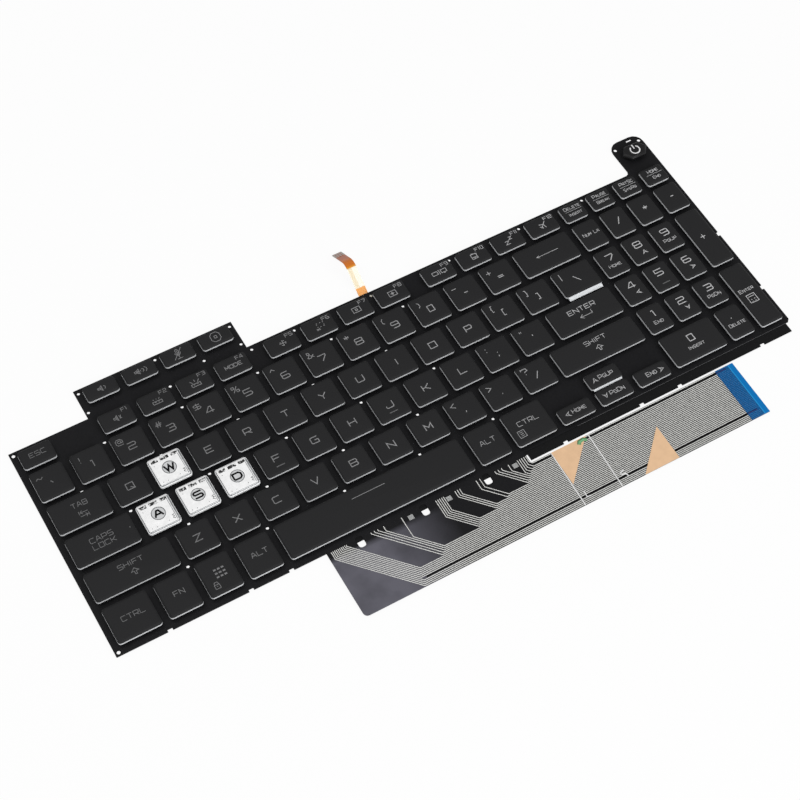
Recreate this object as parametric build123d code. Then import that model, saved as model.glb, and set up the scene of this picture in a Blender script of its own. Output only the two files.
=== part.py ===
"""Laptop keyboard module: keycaps over domes and scissor links, on a membrane and a steel base plate.

Millimetres, +X right, +Y away from the typist, +Z up. The origin is the middle of the base plate's main
field, on the underside of the back film. Layout sizes below are from the front left corner of the key at
the left end of the digit row, and FIELD_X and FIELD_Y move them to the origin.
"""

import math
import os

from build123d import *

# Key layout
KEY_PITCH = 18.2
PAD_PITCH = 15.0
PAD_SPACE = 0.35
FUNCTION_PITCH = 18.34
FUNCTION_SHIFT = 0.26
HOTKEY_SHIFT = 0.7
CAP_GAP = 3.4
DIGIT_DEPTH = 14.9
ALPHA_DEPTH = 14.6
LOWER_DEPTH = 14.1
BOTTOM_DEPTH = 17.2
ARROW_DEPTH = 7.7
FUNCTION_DEPTH = 9.4
HOTKEY_DEPTH = 7.9
ROW_GAP = 2.85
LOWER_GAP = 3.22
BOTTOM_GAP = 3.23
FUNCTION_GAP = 2.68
HOTKEY_GAP = 7.92
ARROW_GAP = 1.4
PLUS_INSET = 0.2
PAD_ENTER_INSET = 0.45
PAD_ZERO_INSET = 0.75

# Keycaps
CAP_HEIGHT = 1.8
CAP_TOP = 0.5
CAP_WALL = 1.0
CAP_SKIRT = 1.0
CAP_DRAFT = 45.0
CAP_CORNER = 0.9
CORNER_FLATS = 1
LIP_HEIGHT = 0.7
BACKSLASH_LIP = 1.7
UP_LIP = 0.65
BUMP_LENGTH = 4.0
BUMP_WIDTH = 0.5
BUMP_HEIGHT = 0.2
BUMP_UP = 2.9
TRAVEL = 1.7
STOP_GAP = 0.1

# Layers
BACK_FILM = 0.1
GUIDE = 0.4
PLATE = 0.45
MEMBRANE = 0.25
GUIDE_INSET = 4.0

# Plate outline
EDGE_LEFT = 2.8
EDGE_RIGHT = 3.0
EDGE_BACK = 2.65
EDGE_FRONT = 3.0
HOT_TAB_EDGE = 3.2
HOT_TAB_BACK = 2.2
POWER_TAB_WIDTH = 16.95
POWER_TAB_DEPTH = 19.1
POWER_TAB_CORNER = 5.0
POWER_TAB_FILLET = 2.0
TAB_FLATS = 4
FILLET_FLATS = 2
LIP_START = 188.8
LIP_DEPTH = 3.1
LIP_END = 2.5
SHEET_SETBACK = 1.4
SHEET_CORNER = 1.4
NOTCH_WIDTH = 2.2
NOTCH_DEPTH = 1.0
FRONT_NOTCHES = (20.9, 57.2, 75.6)
LIP_NOTCHES = (206.4, 245.6, 265.6, 310.0)
SIDE_NOTCHES = (-18.8, -53.0)

# Holes for the plastic stakes of the laptop's case
HOLE_R = 0.8
STAKE_FLATS = 6
STAKE_SPAN = 2
STAKE_OFFSET = 1.4
STAKE_END = 190.0
GUIDE_FLATS = 4
SHEET_HOLE_GAP = 0.15
EDGE_HOLE = 1.6
TAB_HOLE = 2.0
TAB_FRONT_HOLE = 2.75
BACK_HOLES = (71.6, 111.1, 132.1, 170.9, 211.5, 248.7, 283.2)
TAB_FRONT_HOLES = (35.3, 90.3, 108.3)
POWER_HOLE_LEFT = 2.05
POWER_HOLE_DOWN = 3.75
POWER_SLOT_X = 2.3
POWER_SLOT_DOWN = 1.8
POWER_SLOT_LENGTH = 3.0
POWER_SLOT_WIDTH = 1.0

# Membrane tail
TAIL_LEFT = 91.4
TAIL_NECK_RIGHT = 187.8
TAIL_RIGHT = 292.25
TAIL_WIDTH = 28.35
TAIL_GAP = 1.2
TAIL_CORNER = 2.0
TAIL_FLATS = 3
SLOT_WIDTH = 3.2
SLOT_LENGTH = 4.6
SLOT_COUNT = 3
SLOT_FIRST = 15.05
SLOT_PITCH = 30.5
SLOT_CORNER = 1.0
SLOT_FLATS = 2
SLOT_BACK = 0.6
STIFFENER_LENGTH = 9.35
STIFFENER = 0.2
PATCH = 0.1
PATCH_LENGTH = 17.5
PATCH_FIRST = 10.05
PATCH_SECOND = 56.85

# Flexible circuit of the backlight
FLEX_X = 166.1
FLEX_WIDTH = 4.6
FLEX = 0.15
FLEX_BAR = 36.0
FLEX_BAR_DEPTH = 2.6
FLEX_SLOPE = 33.0
FLEX_RISE = 13.0
FLEX_BEND_R = 4.8
FLEX_FLATS = 6
FLEX_FALL = 10.5
FLEX_CONTACT = 4.2
LAMP_COUNT = 4
LAMP = 3.0
LAMP_DEPTH = 0.8

# Power key
POWER_WIDTH = 13.1
POWER_DEPTH = 7.95
POWER_FLAT = 7.3
POWER_UP = 9.2
POWER_ROOM = 0.5

# Scissor links
LINK = 0.6
LINK_BAR = 0.8
PIN_R = 0.3
CROSS_PIN_R = 0.2
CROSS_BOSS = 0.5
PIN_FLATS = 6
PIN_FIT = 0.06
BAR_FIT = 0.12
LINK_SIDE = 0.35
LINK_SPACE = 0.5
LINK_ENDS = 5.6
PIVOT_RISE = 0.45
FOLD_RISE = 0.25
CROSS_BAR = 0.8
HOOK = 0.45
HOOK_SIDE = 0.35
HOOK_INSET = 1.2
HOOK_WIDTH = 0.8
CLIP_WIDTH = 1.0
WINDOW_GAP = 0.3
CUT_OVER = 1.0

# Rubber domes
DOME_GAP = 0.4
DOME_SEAT = 0.55
DOME_TOP_SHARE = 0.5
DOME_FLATS = 4
SEEN_FLATS = 12

# Heights of the layers
GUIDE_Z = BACK_FILM
PLATE_Z = GUIDE_Z + GUIDE
SHEET_Z = PLATE_Z + PLATE
TOP_Z = SHEET_Z + MEMBRANE
CAP_Z = TOP_Z + TRAVEL + STOP_GAP
ROOF_Z = CAP_Z + CAP_HEIGHT - CAP_TOP
CAP_TOP_Z = CAP_Z + CAP_HEIGHT

# Front edges of the rows
DIGIT_Y = 0.0
ALPHA_Y = DIGIT_Y - ROW_GAP - ALPHA_DEPTH
HOME_Y = ALPHA_Y - ROW_GAP - ALPHA_DEPTH
LOWER_Y = HOME_Y - LOWER_GAP - LOWER_DEPTH
BOTTOM_Y = LOWER_Y - BOTTOM_GAP - BOTTOM_DEPTH
FUNCTION_Y = DIGIT_DEPTH + FUNCTION_GAP
HOTKEY_Y = FUNCTION_Y + FUNCTION_DEPTH + HOTKEY_GAP
UP_Y = BOTTOM_Y + ARROW_DEPTH + ARROW_GAP

# Main block and number pad
MAIN_UNITS = 14.75
PAD_X = MAIN_UNITS * KEY_PITCH + PAD_SPACE
FIELD_WIDTH = PAD_X + 4 * PAD_PITCH - CAP_GAP

# Edges of the plate's main field, and the shift to the origin
LEFT = -EDGE_LEFT
RIGHT = FIELD_WIDTH + EDGE_RIGHT
BACK = FUNCTION_Y + FUNCTION_DEPTH + EDGE_BACK
FRONT = BOTTOM_Y - EDGE_FRONT
FIELD_X = -(LEFT + RIGHT) / 2
FIELD_Y = -(BACK + FRONT) / 2

# Power tab and its key
TAB_RIGHT = RIGHT
TAB_LEFT = TAB_RIGHT - POWER_TAB_WIDTH
TAB_BACK = BACK + POWER_TAB_DEPTH
POWER_X = (TAB_LEFT + TAB_RIGHT) / 2
POWER_Y = BACK + POWER_UP

# Hot key tab
HOTKEY_X = 2 * KEY_PITCH + HOTKEY_SHIFT
HOT_LEFT = HOTKEY_X - HOT_TAB_EDGE
HOT_RIGHT = HOTKEY_X + 4 * KEY_PITCH - CAP_GAP + HOT_TAB_EDGE
HOT_BACK = HOTKEY_Y + HOTKEY_DEPTH + HOT_TAB_BACK


def flat_face(points):
    """A face from layout points, moved to the part's own origin."""
    moved = [(x + FIELD_X, y + FIELD_Y) for x, y in points]
    return make_face(Polyline(*moved, close=True))


def slab(face, z, height):
    """A face stood up as a solid from z."""
    return extrude(Pos(0, 0, z) * face, amount=height)


def corner(x, y, radius, start, flats):
    """Points round a corner whose centre is x, y, a quarter turn on from start degrees."""
    angles = [math.radians(start + 90 * i / flats) for i in range(flats + 1)]
    return [(x + radius * math.cos(a), y + radius * math.sin(a)) for a in angles]


def rectangle(x0, y0, x1, y1):
    """Corners of a rectangle."""
    return [(x0, y0), (x1, y0), (x1, y1), (x0, y1)]


def rounded(x, y, width, depth, radius, flats):
    """Points of a rectangle with rounded corners, from its front left corner x, y."""
    r = radius
    points = corner(x + r, y + r, r, 180, flats)
    points += corner(x + width - r, y + r, r, 270, flats)
    points += corner(x + width - r, y + depth - r, r, 0, flats)
    points += corner(x + r, y + depth - r, r, 90, flats)
    return points


def ring(x, y, radius, flats):
    """Points of a small round hole, drawn with flats."""
    turns = [2 * math.pi * (i + 0.5) / flats for i in range(flats)]
    return [(x + radius * math.cos(a), y + radius * math.sin(a)) for a in turns]


def block(x0, x1, y0, y1, z0, z1):
    """A box between layout limits."""
    return slab(flat_face(rectangle(x0, y0, x1, y1)), z0, z1 - z0)


def round_hole(x, y):
    """A true round hole's face, where something outside fastens to the module."""
    return Pos(x + FIELD_X, y + FIELD_Y) * Circle(HOLE_R)


# Every key as its name, front left corner, width and depth
KEYS = {}


def row_of(names, y, depth, x=0.0, pitch=KEY_PITCH):
    """Lay keys in a row. Each name comes with its width in pitches."""
    for name, units in names:
        KEYS[name] = (x, y, units * pitch - CAP_GAP, depth)
        x += units * pitch


def singles(names):
    """The same names, each one pitch wide."""
    return [(name, 1) for name in names]


digits = ["tilde", "d1", "d2", "d3", "d4", "d5", "d6", "d7", "d8", "d9", "d0", "minus", "equals"]
alphas = ["q", "w", "e", "r", "t", "y", "u", "i", "o", "p", "bracket_left", "bracket_right"]
homes = ["a", "s", "d", "f", "g", "h", "j", "k", "l", "semicolon", "quote"]
lowers = ["z", "x", "c", "v", "b", "n", "m", "comma", "period", "slash"]
row_of(singles(digits) + [("backspace", 1.75)], DIGIT_Y, DIGIT_DEPTH)
row_of([("tab", 1.5)] + singles(alphas) + [("backslash", 1.25)], ALPHA_Y, ALPHA_DEPTH)
row_of([("caps_lock", 1.75)] + singles(homes) + [("enter", 2)], HOME_Y, ALPHA_DEPTH)
row_of([("left_shift", 2.25)] + singles(lowers) + [("right_shift", 2.5)], LOWER_Y, LOWER_DEPTH)
bottoms = [("left_ctrl", 1.25), ("fn", 1), ("system", 1), ("left_alt", 1), ("space", 5)]
bottoms += [("right_alt", 1), ("right_ctrl", 1.25)]
row_of(bottoms, BOTTOM_Y, BOTTOM_DEPTH)
arrow_x = sum(units for _, units in bottoms) * KEY_PITCH
arrow_units = (MAIN_UNITS - sum(units for _, units in bottoms)) / 3
arrows = [("left_arrow", arrow_units), ("down_arrow", arrow_units), ("right_arrow", arrow_units)]
row_of(arrows, BOTTOM_Y, ARROW_DEPTH, arrow_x)
row_of([("up_arrow", arrow_units)], UP_Y, ARROW_DEPTH, arrow_x + arrow_units * KEY_PITCH)
row_of([("escape", 1)], FUNCTION_Y, FUNCTION_DEPTH)
first_cluster = 2 * KEY_PITCH + FUNCTION_SHIFT
last_cluster = MAIN_UNITS * KEY_PITCH - 4 * FUNCTION_PITCH
for cluster in range(3):
    start = first_cluster + (last_cluster - first_cluster) * cluster / 2
    names = singles(f"f{4 * cluster + i + 1}" for i in range(4))
    row_of(names, FUNCTION_Y, FUNCTION_DEPTH, start, FUNCTION_PITCH)
hotkeys = singles(["volume_down", "volume_up", "microphone", "tool"])
row_of(hotkeys, HOTKEY_Y, HOTKEY_DEPTH, HOTKEY_X)

# Number pad, with two keys that span two rows
row_of(singles(["delete", "pause", "print", "home"]), FUNCTION_Y, FUNCTION_DEPTH, PAD_X, PAD_PITCH)
pad_tops = singles(["pad_lock", "pad_slash", "pad_star", "pad_minus"])
row_of(pad_tops, DIGIT_Y, DIGIT_DEPTH, PAD_X, PAD_PITCH)
row_of(singles(["pad_7", "pad_8", "pad_9"]), ALPHA_Y, ALPHA_DEPTH, PAD_X, PAD_PITCH)
row_of(singles(["pad_4", "pad_5", "pad_6"]), HOME_Y, ALPHA_DEPTH, PAD_X, PAD_PITCH)
row_of(singles(["pad_1", "pad_2", "pad_3"]), LOWER_Y, LOWER_DEPTH, PAD_X, PAD_PITCH)
zero_depth = BOTTOM_DEPTH - PAD_ZERO_INSET
row_of([("pad_zero", 2), ("pad_period", 1)], BOTTOM_Y + PAD_ZERO_INSET, zero_depth, PAD_X, PAD_PITCH)
last_x = PAD_X + 3 * PAD_PITCH
plus_y = HOME_Y + PLUS_INSET
row_of([("pad_plus", 1)], plus_y, ALPHA_Y + ALPHA_DEPTH - plus_y, last_x, PAD_PITCH)
pad_enter_y = BOTTOM_Y + PAD_ENTER_INSET
row_of([("pad_enter", 1)], pad_enter_y, LOWER_Y + LOWER_DEPTH - pad_enter_y, last_x, PAD_PITCH)

# Keys that are nodes of their own, and the groups that hold the rest
CLEAR = ["w", "a", "s", "d"]
SINGLE = CLEAR + ["f", "j", "escape", "backspace", "tab", "backslash", "caps_lock", "enter"]
SINGLE += ["left_shift", "right_shift", "left_arrow", "up_arrow", "down_arrow", "right_arrow"]
SINGLE += [name for name, _ in bottoms + hotkeys] + ["pad_plus", "pad_enter", "pad_zero"]
GROUPS = {
    "letter_keys": [n for n in alphas + homes + lowers if n not in SINGLE],
    "digit_keys": digits,
    "function_keys": [f"f{i + 1}" for i in range(12)] + ["delete", "pause", "print", "home"],
    "pad_keys": [n for n in KEYS if n.startswith("pad_") and n not in SINGLE],
}
LIPS = {"backslash": BACKSLASH_LIP, "up_arrow": UP_LIP}
BUMPS = ["f", "j", "pad_5"]

# Scissor link sizes, from the space inside a clear cap
LINK_LENGTH = ALPHA_DEPTH - LINK_ENDS
PIVOT_Z = TOP_Z + PIVOT_RISE
REST_RISE = TRAVEL + FOLD_RISE
REST_ANGLE = math.degrees(math.asin(REST_RISE / LINK_LENGTH))
FOLD_ANGLE = math.degrees(math.asin(FOLD_RISE / LINK_LENGTH))
CLEAR_WIDTH = KEY_PITCH - CAP_GAP
PIN_END = CLEAR_WIDTH / 2 - CAP_WALL - LINK_SIDE
OUTER_OUT = PIN_END - HOOK - PIN_FIT * 2
OUTER_IN = OUTER_OUT - LINK_BAR
INNER_OUT = OUTER_IN - LINK_SPACE
INNER_IN = INNER_OUT - LINK_BAR
DOME_R = INNER_IN - DOME_GAP
HOOK_X = INNER_IN - HOOK_INSET
REACH = LINK_LENGTH * math.cos(math.radians(REST_ANGLE))
FOLDED = LINK_LENGTH * math.cos(math.radians(FOLD_ANGLE))


def middle(name):
    """The middle of a key in the layout."""
    x, y, width, depth = KEYS[name]
    return x + width / 2, y + depth / 2


def raised(face):
    """A key's outer form: a straight skirt below a top that slopes in."""
    skirt = slab(face, CAP_Z, CAP_SKIRT)
    rest = CAP_HEIGHT - CAP_SKIRT
    return skirt + extrude(Pos(0, 0, CAP_Z + CAP_SKIRT) * face, amount=rest, taper=CAP_DRAFT)


def cap_shell(name):
    """A hollow keycap, open below."""
    x, y, width, depth = KEYS[name]
    cap = raised(flat_face(rounded(x, y, width, depth, CAP_CORNER, CORNER_FLATS)))
    if name in LIPS:
        lip = LIPS[name]
        x0 = x + CAP_CORNER
        x1 = x + width - CAP_CORNER
        cap += block(x0, x1, y - lip, y + CAP_CORNER, CAP_Z, CAP_Z + LIP_HEIGHT)
    if name in BUMPS:
        cx = x + width / 2
        by = y + BUMP_UP
        half = BUMP_LENGTH / 2
        cap += block(cx - half, cx + half, by, by + BUMP_WIDTH, ROOF_Z, CAP_TOP_Z + BUMP_HEIGHT)
    w = CAP_WALL
    cap -= block(x + w, x + width - w, y + w, y + depth - w, CAP_Z - CUT_OVER, ROOF_Z)
    return cap


def clip(x0, x1, y0, y1, slot_top):
    """A clip under the roof of a clear cap, open below, that straddles a bar or pin from y0 to y1."""
    low = slot_top - 2 * (PIN_R + BAR_FIT)
    body = block(x0, x1, y0 - HOOK_SIDE, y1 + HOOK_SIDE, low, ROOF_Z)
    return body - block(x0 - CUT_OVER, x1 + CUT_OVER, y0, y1, low - CUT_OVER, slot_top)


def clear_cap(name):
    """A clear keycap with the clips that hold its two links."""
    cap = cap_shell(name)
    cx, cy = middle(name)
    back = cy + LINK_LENGTH / 2
    free = PIN_R + BAR_FIT
    slot_top = PIVOT_Z + REST_RISE + free
    for side in (-1, 1):
        a, b = sorted((side * (HOOK_X - CLIP_WIDTH / 2), side * (HOOK_X + CLIP_WIDTH / 2)))
        cap += clip(cx + a, cx + b, back - free, back + free, slot_top)
        a, b = sorted((side * (OUTER_OUT + PIN_FIT), side * PIN_END))
        cap += clip(cx + a, cx + b, back - FOLDED - free, back - REACH + free, slot_top)
    return cap


def pin(x0, x1, along, radius):
    """A pin across a link, as a prism along X at a distance along the link."""
    face = make_face(Polyline(*ring(along, 0, radius, PIN_FLATS), close=True))
    across = Plane(origin=(x0, 0, 0), x_dir=(0, -1, 0), z_dir=(1, 0, 0))
    return extrude(across * face, amount=x1 - x0)


def frame(points, thick=LINK):
    """A flat piece of a link from points across and along it."""
    face = make_face(Polyline(*[(x, -along) for x, along in points], close=True))
    return extrude(Pos(0, 0, -thick / 2) * face, amount=thick)


def placed(link, name, z, angle):
    """Swing a flat link about its pivot line and set it under its key."""
    cx, cy = middle(name)
    return Pos(cx + FIELD_X, cy + LINK_LENGTH / 2 + FIELD_Y, z) * Rot(angle, 0, 0) * link


def outer_link(name):
    """The outer link: pins in the base plate's hooks behind, pins in the cap's clips in front."""
    o, i = OUTER_OUT, OUTER_IN
    end = LINK_LENGTH + CROSS_BAR + LINK
    inside = LINK_LENGTH + CROSS_BAR
    cross = LINK_LENGTH / 2
    points = [(-o, -LINK / 2), (-i, -LINK / 2), (-i, inside), (i, inside), (i, -LINK / 2), (o, -LINK / 2)]
    link = frame(points + [(o, end), (-o, end)])
    for side in (-1, 1):
        a, b = sorted((side * OUTER_OUT, side * PIN_END))
        link += pin(a, b, 0, PIN_R)
        link += pin(a, b, LINK_LENGTH, PIN_R)
        a, b = sorted((side * OUTER_IN, side * OUTER_OUT))
        link += frame(rectangle(a, cross - CROSS_BOSS, b, cross + CROSS_BOSS), 2 * CROSS_BOSS)
        a, b = sorted((side * (OUTER_IN - CUT_OVER), side * (OUTER_OUT + CUT_OVER)))
        link -= pin(a, b, cross, CROSS_PIN_R / math.cos(math.pi / PIN_FLATS) + PIN_FIT)
    return placed(link, name, PIVOT_Z, -REST_ANGLE)


def inner_link(name):
    """The inner link: its back bar in the cap's clips, its front bar under the base plate's hooks."""
    o, i = INNER_OUT, INNER_IN
    h = LINK / 2
    link = frame([(-o, -h), (o, -h), (o, LINK_LENGTH + h), (-o, LINK_LENGTH + h)])
    hollow = [(-i, h), (i, h), (i, LINK_LENGTH - h), (-i, LINK_LENGTH - h)]
    link -= frame(hollow, 2 * LINK)
    for side in (-1, 1):
        a, b = sorted((side * INNER_OUT, side * (OUTER_OUT - PIN_FIT)))
        link += pin(a, b, LINK_LENGTH / 2, CROSS_PIN_R)
    return placed(link, name, PIVOT_Z + REST_RISE, REST_ANGLE)


def hooks(name):
    """The base plate's four hooks under a clear key: x0, x1, y0, y1 of the space, and the leg's side."""
    cx, cy = middle(name)
    back = cy + LINK_LENGTH / 2
    free = PIN_R + BAR_FIT
    found = []
    for side in (-1, 1):
        a, b = sorted((side * (OUTER_OUT + PIN_FIT), side * PIN_END))
        found.append((cx + a, cx + b, back - free, back + free, 1))
        a, b = sorted((side * (HOOK_X - HOOK_WIDTH / 2), side * (HOOK_X + HOOK_WIDTH / 2)))
        found.append((cx + a, cx + b, back - FOLDED - free, back - REACH + free, -1))
    return found


def hook(x0, x1, y0, y1, leg):
    """A hook bent up from the base plate: a leg behind or in front of a pin, and a lip over it."""
    inside_z = PIVOT_Z + PIN_R + BAR_FIT
    low_y = y0 - HOOK_SIDE if leg < 0 else y0
    high_y = y1 + HOOK_SIDE if leg > 0 else y1
    bent = block(x0, x1, low_y, high_y, PLATE_Z, inside_z + HOOK_SIDE)
    open_y = y0 if leg < 0 else y0 - CUT_OVER
    shut_y = y1 if leg > 0 else y1 + CUT_OVER
    return bent - block(x0 - CUT_OVER, x1 + CUT_OVER, open_y, shut_y, SHEET_Z, inside_z)


def edge_notches(xs, y, inward):
    """Small notches along an edge that runs in X."""
    half = NOTCH_WIDTH / 2
    return [flat_face(rectangle(x - half, y, x + half, y + inward)) for x in xs]


def side_notches(ys, x, inward):
    """Small notches along an edge that runs in Y."""
    half = NOTCH_WIDTH / 2
    return [flat_face(rectangle(x, y - half, x + inward, y + half)) for y in ys]


# Upper part of the outline, shared by plate and membrane, from the right round to the left
tab_r = POWER_TAB_CORNER
fillet = POWER_TAB_FILLET
upper = corner(TAB_RIGHT - tab_r, TAB_BACK - tab_r, tab_r, 0, TAB_FLATS)
upper += corner(TAB_LEFT + tab_r, TAB_BACK - tab_r, tab_r, 90, TAB_FLATS)
upper += list(reversed(corner(TAB_LEFT - fillet, BACK + fillet, fillet, 270, FILLET_FLATS)))
upper += [(HOT_RIGHT, BACK), (HOT_RIGHT, HOT_BACK), (HOT_LEFT, HOT_BACK), (HOT_LEFT, BACK), (LEFT, BACK)]

# Holes in the gaps between the keys, two pitches apart in each line
field_lines = [
    (DIGIT_DEPTH + FUNCTION_GAP * 0.35, 2),
    (DIGIT_Y - ROW_GAP * 0.4, 1),
    (ALPHA_Y - ROW_GAP * 0.55, 1.75),
    (HOME_Y - LOWER_GAP * 0.35, 2.75),
    (LOWER_Y - BOTTOM_GAP * 0.4, 2.25),
]
field_holes = []
for y, units in field_lines:
    x = units * KEY_PITCH - STAKE_OFFSET
    while x < STAKE_END:
        field_holes.append((x, y))
        x += STAKE_SPAN * KEY_PITCH

# Holes at the back edge and round the hot key tab
tab_hole_y = HOT_BACK - TAB_HOLE
edge_holes = [(x, BACK - TAB_HOLE) for x in BACK_HOLES]
edge_holes += [(x, BACK + TAB_FRONT_HOLE) for x in TAB_FRONT_HOLES]
edge_holes += [(HOT_LEFT + EDGE_HOLE, tab_hole_y), (HOT_RIGHT - EDGE_HOLE, tab_hole_y)]
edge_holes += [((HOT_LEFT + HOT_RIGHT) / 2, tab_hole_y)]

# True round holes that the mounts name
mount_holes = [(LEFT + EDGE_HOLE, BACK - EDGE_HOLE), (LEFT + EDGE_HOLE, FRONT + EDGE_HOLE)]
power_hole_y = TAB_BACK - POWER_HOLE_DOWN
mount_holes += [(TAB_LEFT + POWER_HOLE_LEFT, power_hole_y), (TAB_RIGHT - EDGE_HOLE, power_hole_y)]

stakes = [flat_face(ring(x, y, HOLE_R, STAKE_FLATS)) for x, y in field_holes]
rims = [flat_face(ring(x, y, HOLE_R, STAKE_FLATS)) for x, y in edge_holes]
rounds = [round_hole(x, y) for x, y in mount_holes]
loose = (HOLE_R + SHEET_HOLE_GAP) / math.cos(math.pi / STAKE_FLATS)
sheet_rounds = [flat_face(ring(x, y, loose, STAKE_FLATS)) for x, y in mount_holes]
guide_r = HOLE_R / math.cos(math.pi / GUIDE_FLATS)
guide_holes = [flat_face(ring(x, y, guide_r, GUIDE_FLATS)) for x, y in field_holes]
slot_x = POWER_X + POWER_SLOT_X
slot_y = TAB_BACK - POWER_SLOT_DOWN
across = POWER_SLOT_LENGTH / 2
along = POWER_SLOT_WIDTH / 2
power_slot = flat_face(rectangle(slot_x - across, slot_y - along, slot_x + across, slot_y + along))

# Base plate: steel, with a lip along the front right edge, notches and hooks
lip_right = RIGHT - LIP_END
low = FRONT - LIP_DEPTH
plate_points = [(LEFT, FRONT), (LIP_START, FRONT), (LIP_START, low), (lip_right, low)]
plate_points += [(lip_right, FRONT + SHEET_SETBACK), (RIGHT, FRONT + SHEET_SETBACK + SHEET_CORNER)]
plate_face = flat_face(plate_points + upper)
notches = edge_notches(FRONT_NOTCHES, FRONT, NOTCH_DEPTH)
notches += side_notches(SIDE_NOTCHES, RIGHT, -NOTCH_DEPTH)
lip_notches = edge_notches(LIP_NOTCHES, low, NOTCH_DEPTH)
plate_face -= stakes + rims + rounds + [power_slot] + notches + lip_notches
base_plate = slab(plate_face, PLATE_Z, PLATE)
for name in CLEAR:
    for limits in hooks(name):
        base_plate += hook(*limits)

# Switch membrane: one black printed sheet that ends in the tail, with windows for the hooks
tail_back = low - TAIL_GAP
tail_front = tail_back - TAIL_WIDTH
sheet_front = FRONT + SHEET_SETBACK
tail_points = corner(TAIL_LEFT + TAIL_CORNER, tail_front + TAIL_CORNER, TAIL_CORNER, 180, TAIL_FLATS)
tail_points += [(TAIL_RIGHT, tail_front), (TAIL_RIGHT, tail_back), (TAIL_NECK_RIGHT, tail_back)]
sheet_points = [(LEFT, FRONT), (TAIL_LEFT, FRONT)] + tail_points
sheet_points += [(TAIL_NECK_RIGHT, sheet_front), (RIGHT - SHEET_CORNER, sheet_front)]
sheet_points += [(RIGHT, sheet_front + SHEET_CORNER)]
sheet_face = flat_face(sheet_points + upper)
windows = []
for name in CLEAR:
    for x0, x1, y0, y1, leg in hooks(name):
        g = WINDOW_GAP
        windows.append(flat_face(rectangle(x0 - g, y0 - HOOK_SIDE - g, x1 + g, y1 + HOOK_SIDE + g)))
slots = []
for i in range(SLOT_COUNT):
    x = TAIL_LEFT + SLOT_FIRST + SLOT_PITCH * i - SLOT_WIDTH / 2
    y = FRONT - SLOT_LENGTH
    slots.append(flat_face(rounded(x, y, SLOT_WIDTH, SLOT_LENGTH + SLOT_BACK, SLOT_CORNER, SLOT_FLATS)))
sheet_face -= stakes + rims + sheet_rounds + [power_slot] + notches + windows + slots
switch_membrane = slab(sheet_face, SHEET_Z, MEMBRANE)

# Stiffener on the tail's end, and the two tape patches
stiffener_x = TAIL_RIGHT - STIFFENER_LENGTH
tail_stiffener = block(stiffener_x, TAIL_RIGHT, tail_front, tail_back, TOP_Z, TOP_Z + STIFFENER)
first = TAIL_NECK_RIGHT + PATCH_FIRST
patch_points = [(first, tail_back), (first, tail_back - PATCH_LENGTH), (first + PATCH_LENGTH, tail_back)]
patch_a = slab(flat_face(patch_points), TOP_Z, PATCH)
second = TAIL_NECK_RIGHT + PATCH_SECOND
patch_points = [(second, tail_front), (second, tail_front + PATCH_LENGTH)]
patch_points += [(second - PATCH_LENGTH, tail_front)]
patch_b = slab(flat_face(patch_points), TOP_Z, PATCH)

# Light guide and back film, set in from the plate's edge
inset = GUIDE_INSET
guide_points = rectangle(LEFT + inset, FRONT + inset, RIGHT - inset, BACK - inset)
guide_face = flat_face(guide_points) - guide_holes
light_guide = slab(guide_face, GUIDE_Z, GUIDE)
back_film = slab(guide_face, 0, BACK_FILM)

# Flexible circuit: a bar under the plate's back edge and a strip that arches out of it, cut from one sheet
flex_low = PLATE_Z - FLEX
bar_y = BACK - inset
bar_x = FLEX_X + FLEX_WIDTH / 2 - FLEX_BAR / 2
led_flex = block(bar_x, bar_x + FLEX_BAR, bar_y, bar_y + FLEX_BAR_DEPTH, flex_low, PLATE_Z)
slope = math.radians(FLEX_SLOPE)
bends = [slope * (1 - 2 * (i + 0.5) / FLEX_FLATS) for i in range(FLEX_FLATS)]
chord = 2 * FLEX_BEND_R * math.tan(slope / FLEX_FLATS)
run = [(bar_y, flex_low), (BACK, flex_low)]
legs = [(FLEX_RISE, slope)] + [(chord, a) for a in bends] + [(FLEX_FALL, -slope)]
for length, angle in legs:
    y, z = run[-1]
    run.append((y + length * math.cos(angle), z + length * math.sin(angle)))


def strip(points, thick, lift):
    """A strip of the flexible circuit along points in Y and Z, lifted square to its own run."""
    turns = [math.atan2(b[1] - a[1], b[0] - a[0]) for a, b in zip(points, points[1:])]
    joints = [turns[0]] + [(a + b) / 2 for a, b in zip(turns, turns[1:])] + [turns[-1]]
    edges = []
    for rise in (lift, lift + thick):
        moved = [(y - rise * math.sin(a), z + rise * math.cos(a)) for (y, z), a in zip(points, joints)]
        edges.append(moved)
    outline = edges[0] + list(reversed(edges[1]))
    face = make_face(Polyline(*[(y + FIELD_Y, z) for y, z in outline], close=True))
    side = Plane(origin=(FLEX_X + FIELD_X, 0, 0), x_dir=(0, 1, 0), z_dir=(1, 0, 0))
    return extrude(side * face, amount=FLEX_WIDTH)


led_flex += strip(run, FLEX, 0)
tip_y, tip_z = run[-1]
back_along = FLEX_CONTACT
contact_run = [(tip_y - back_along * math.cos(slope), tip_z + back_along * math.sin(slope)), run[-1]]
led_flex_contacts = strip(contact_run, FLEX, FLEX)
lamps = []
for i in range(LAMP_COUNT):
    x = bar_x + FLEX_BAR * (i + 0.5) / LAMP_COUNT - LAMP / 2
    lamps.append(block(x, x + LAMP, bar_y, bar_y + LAMP_DEPTH, BACK_FILM / 2, flex_low))


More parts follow.
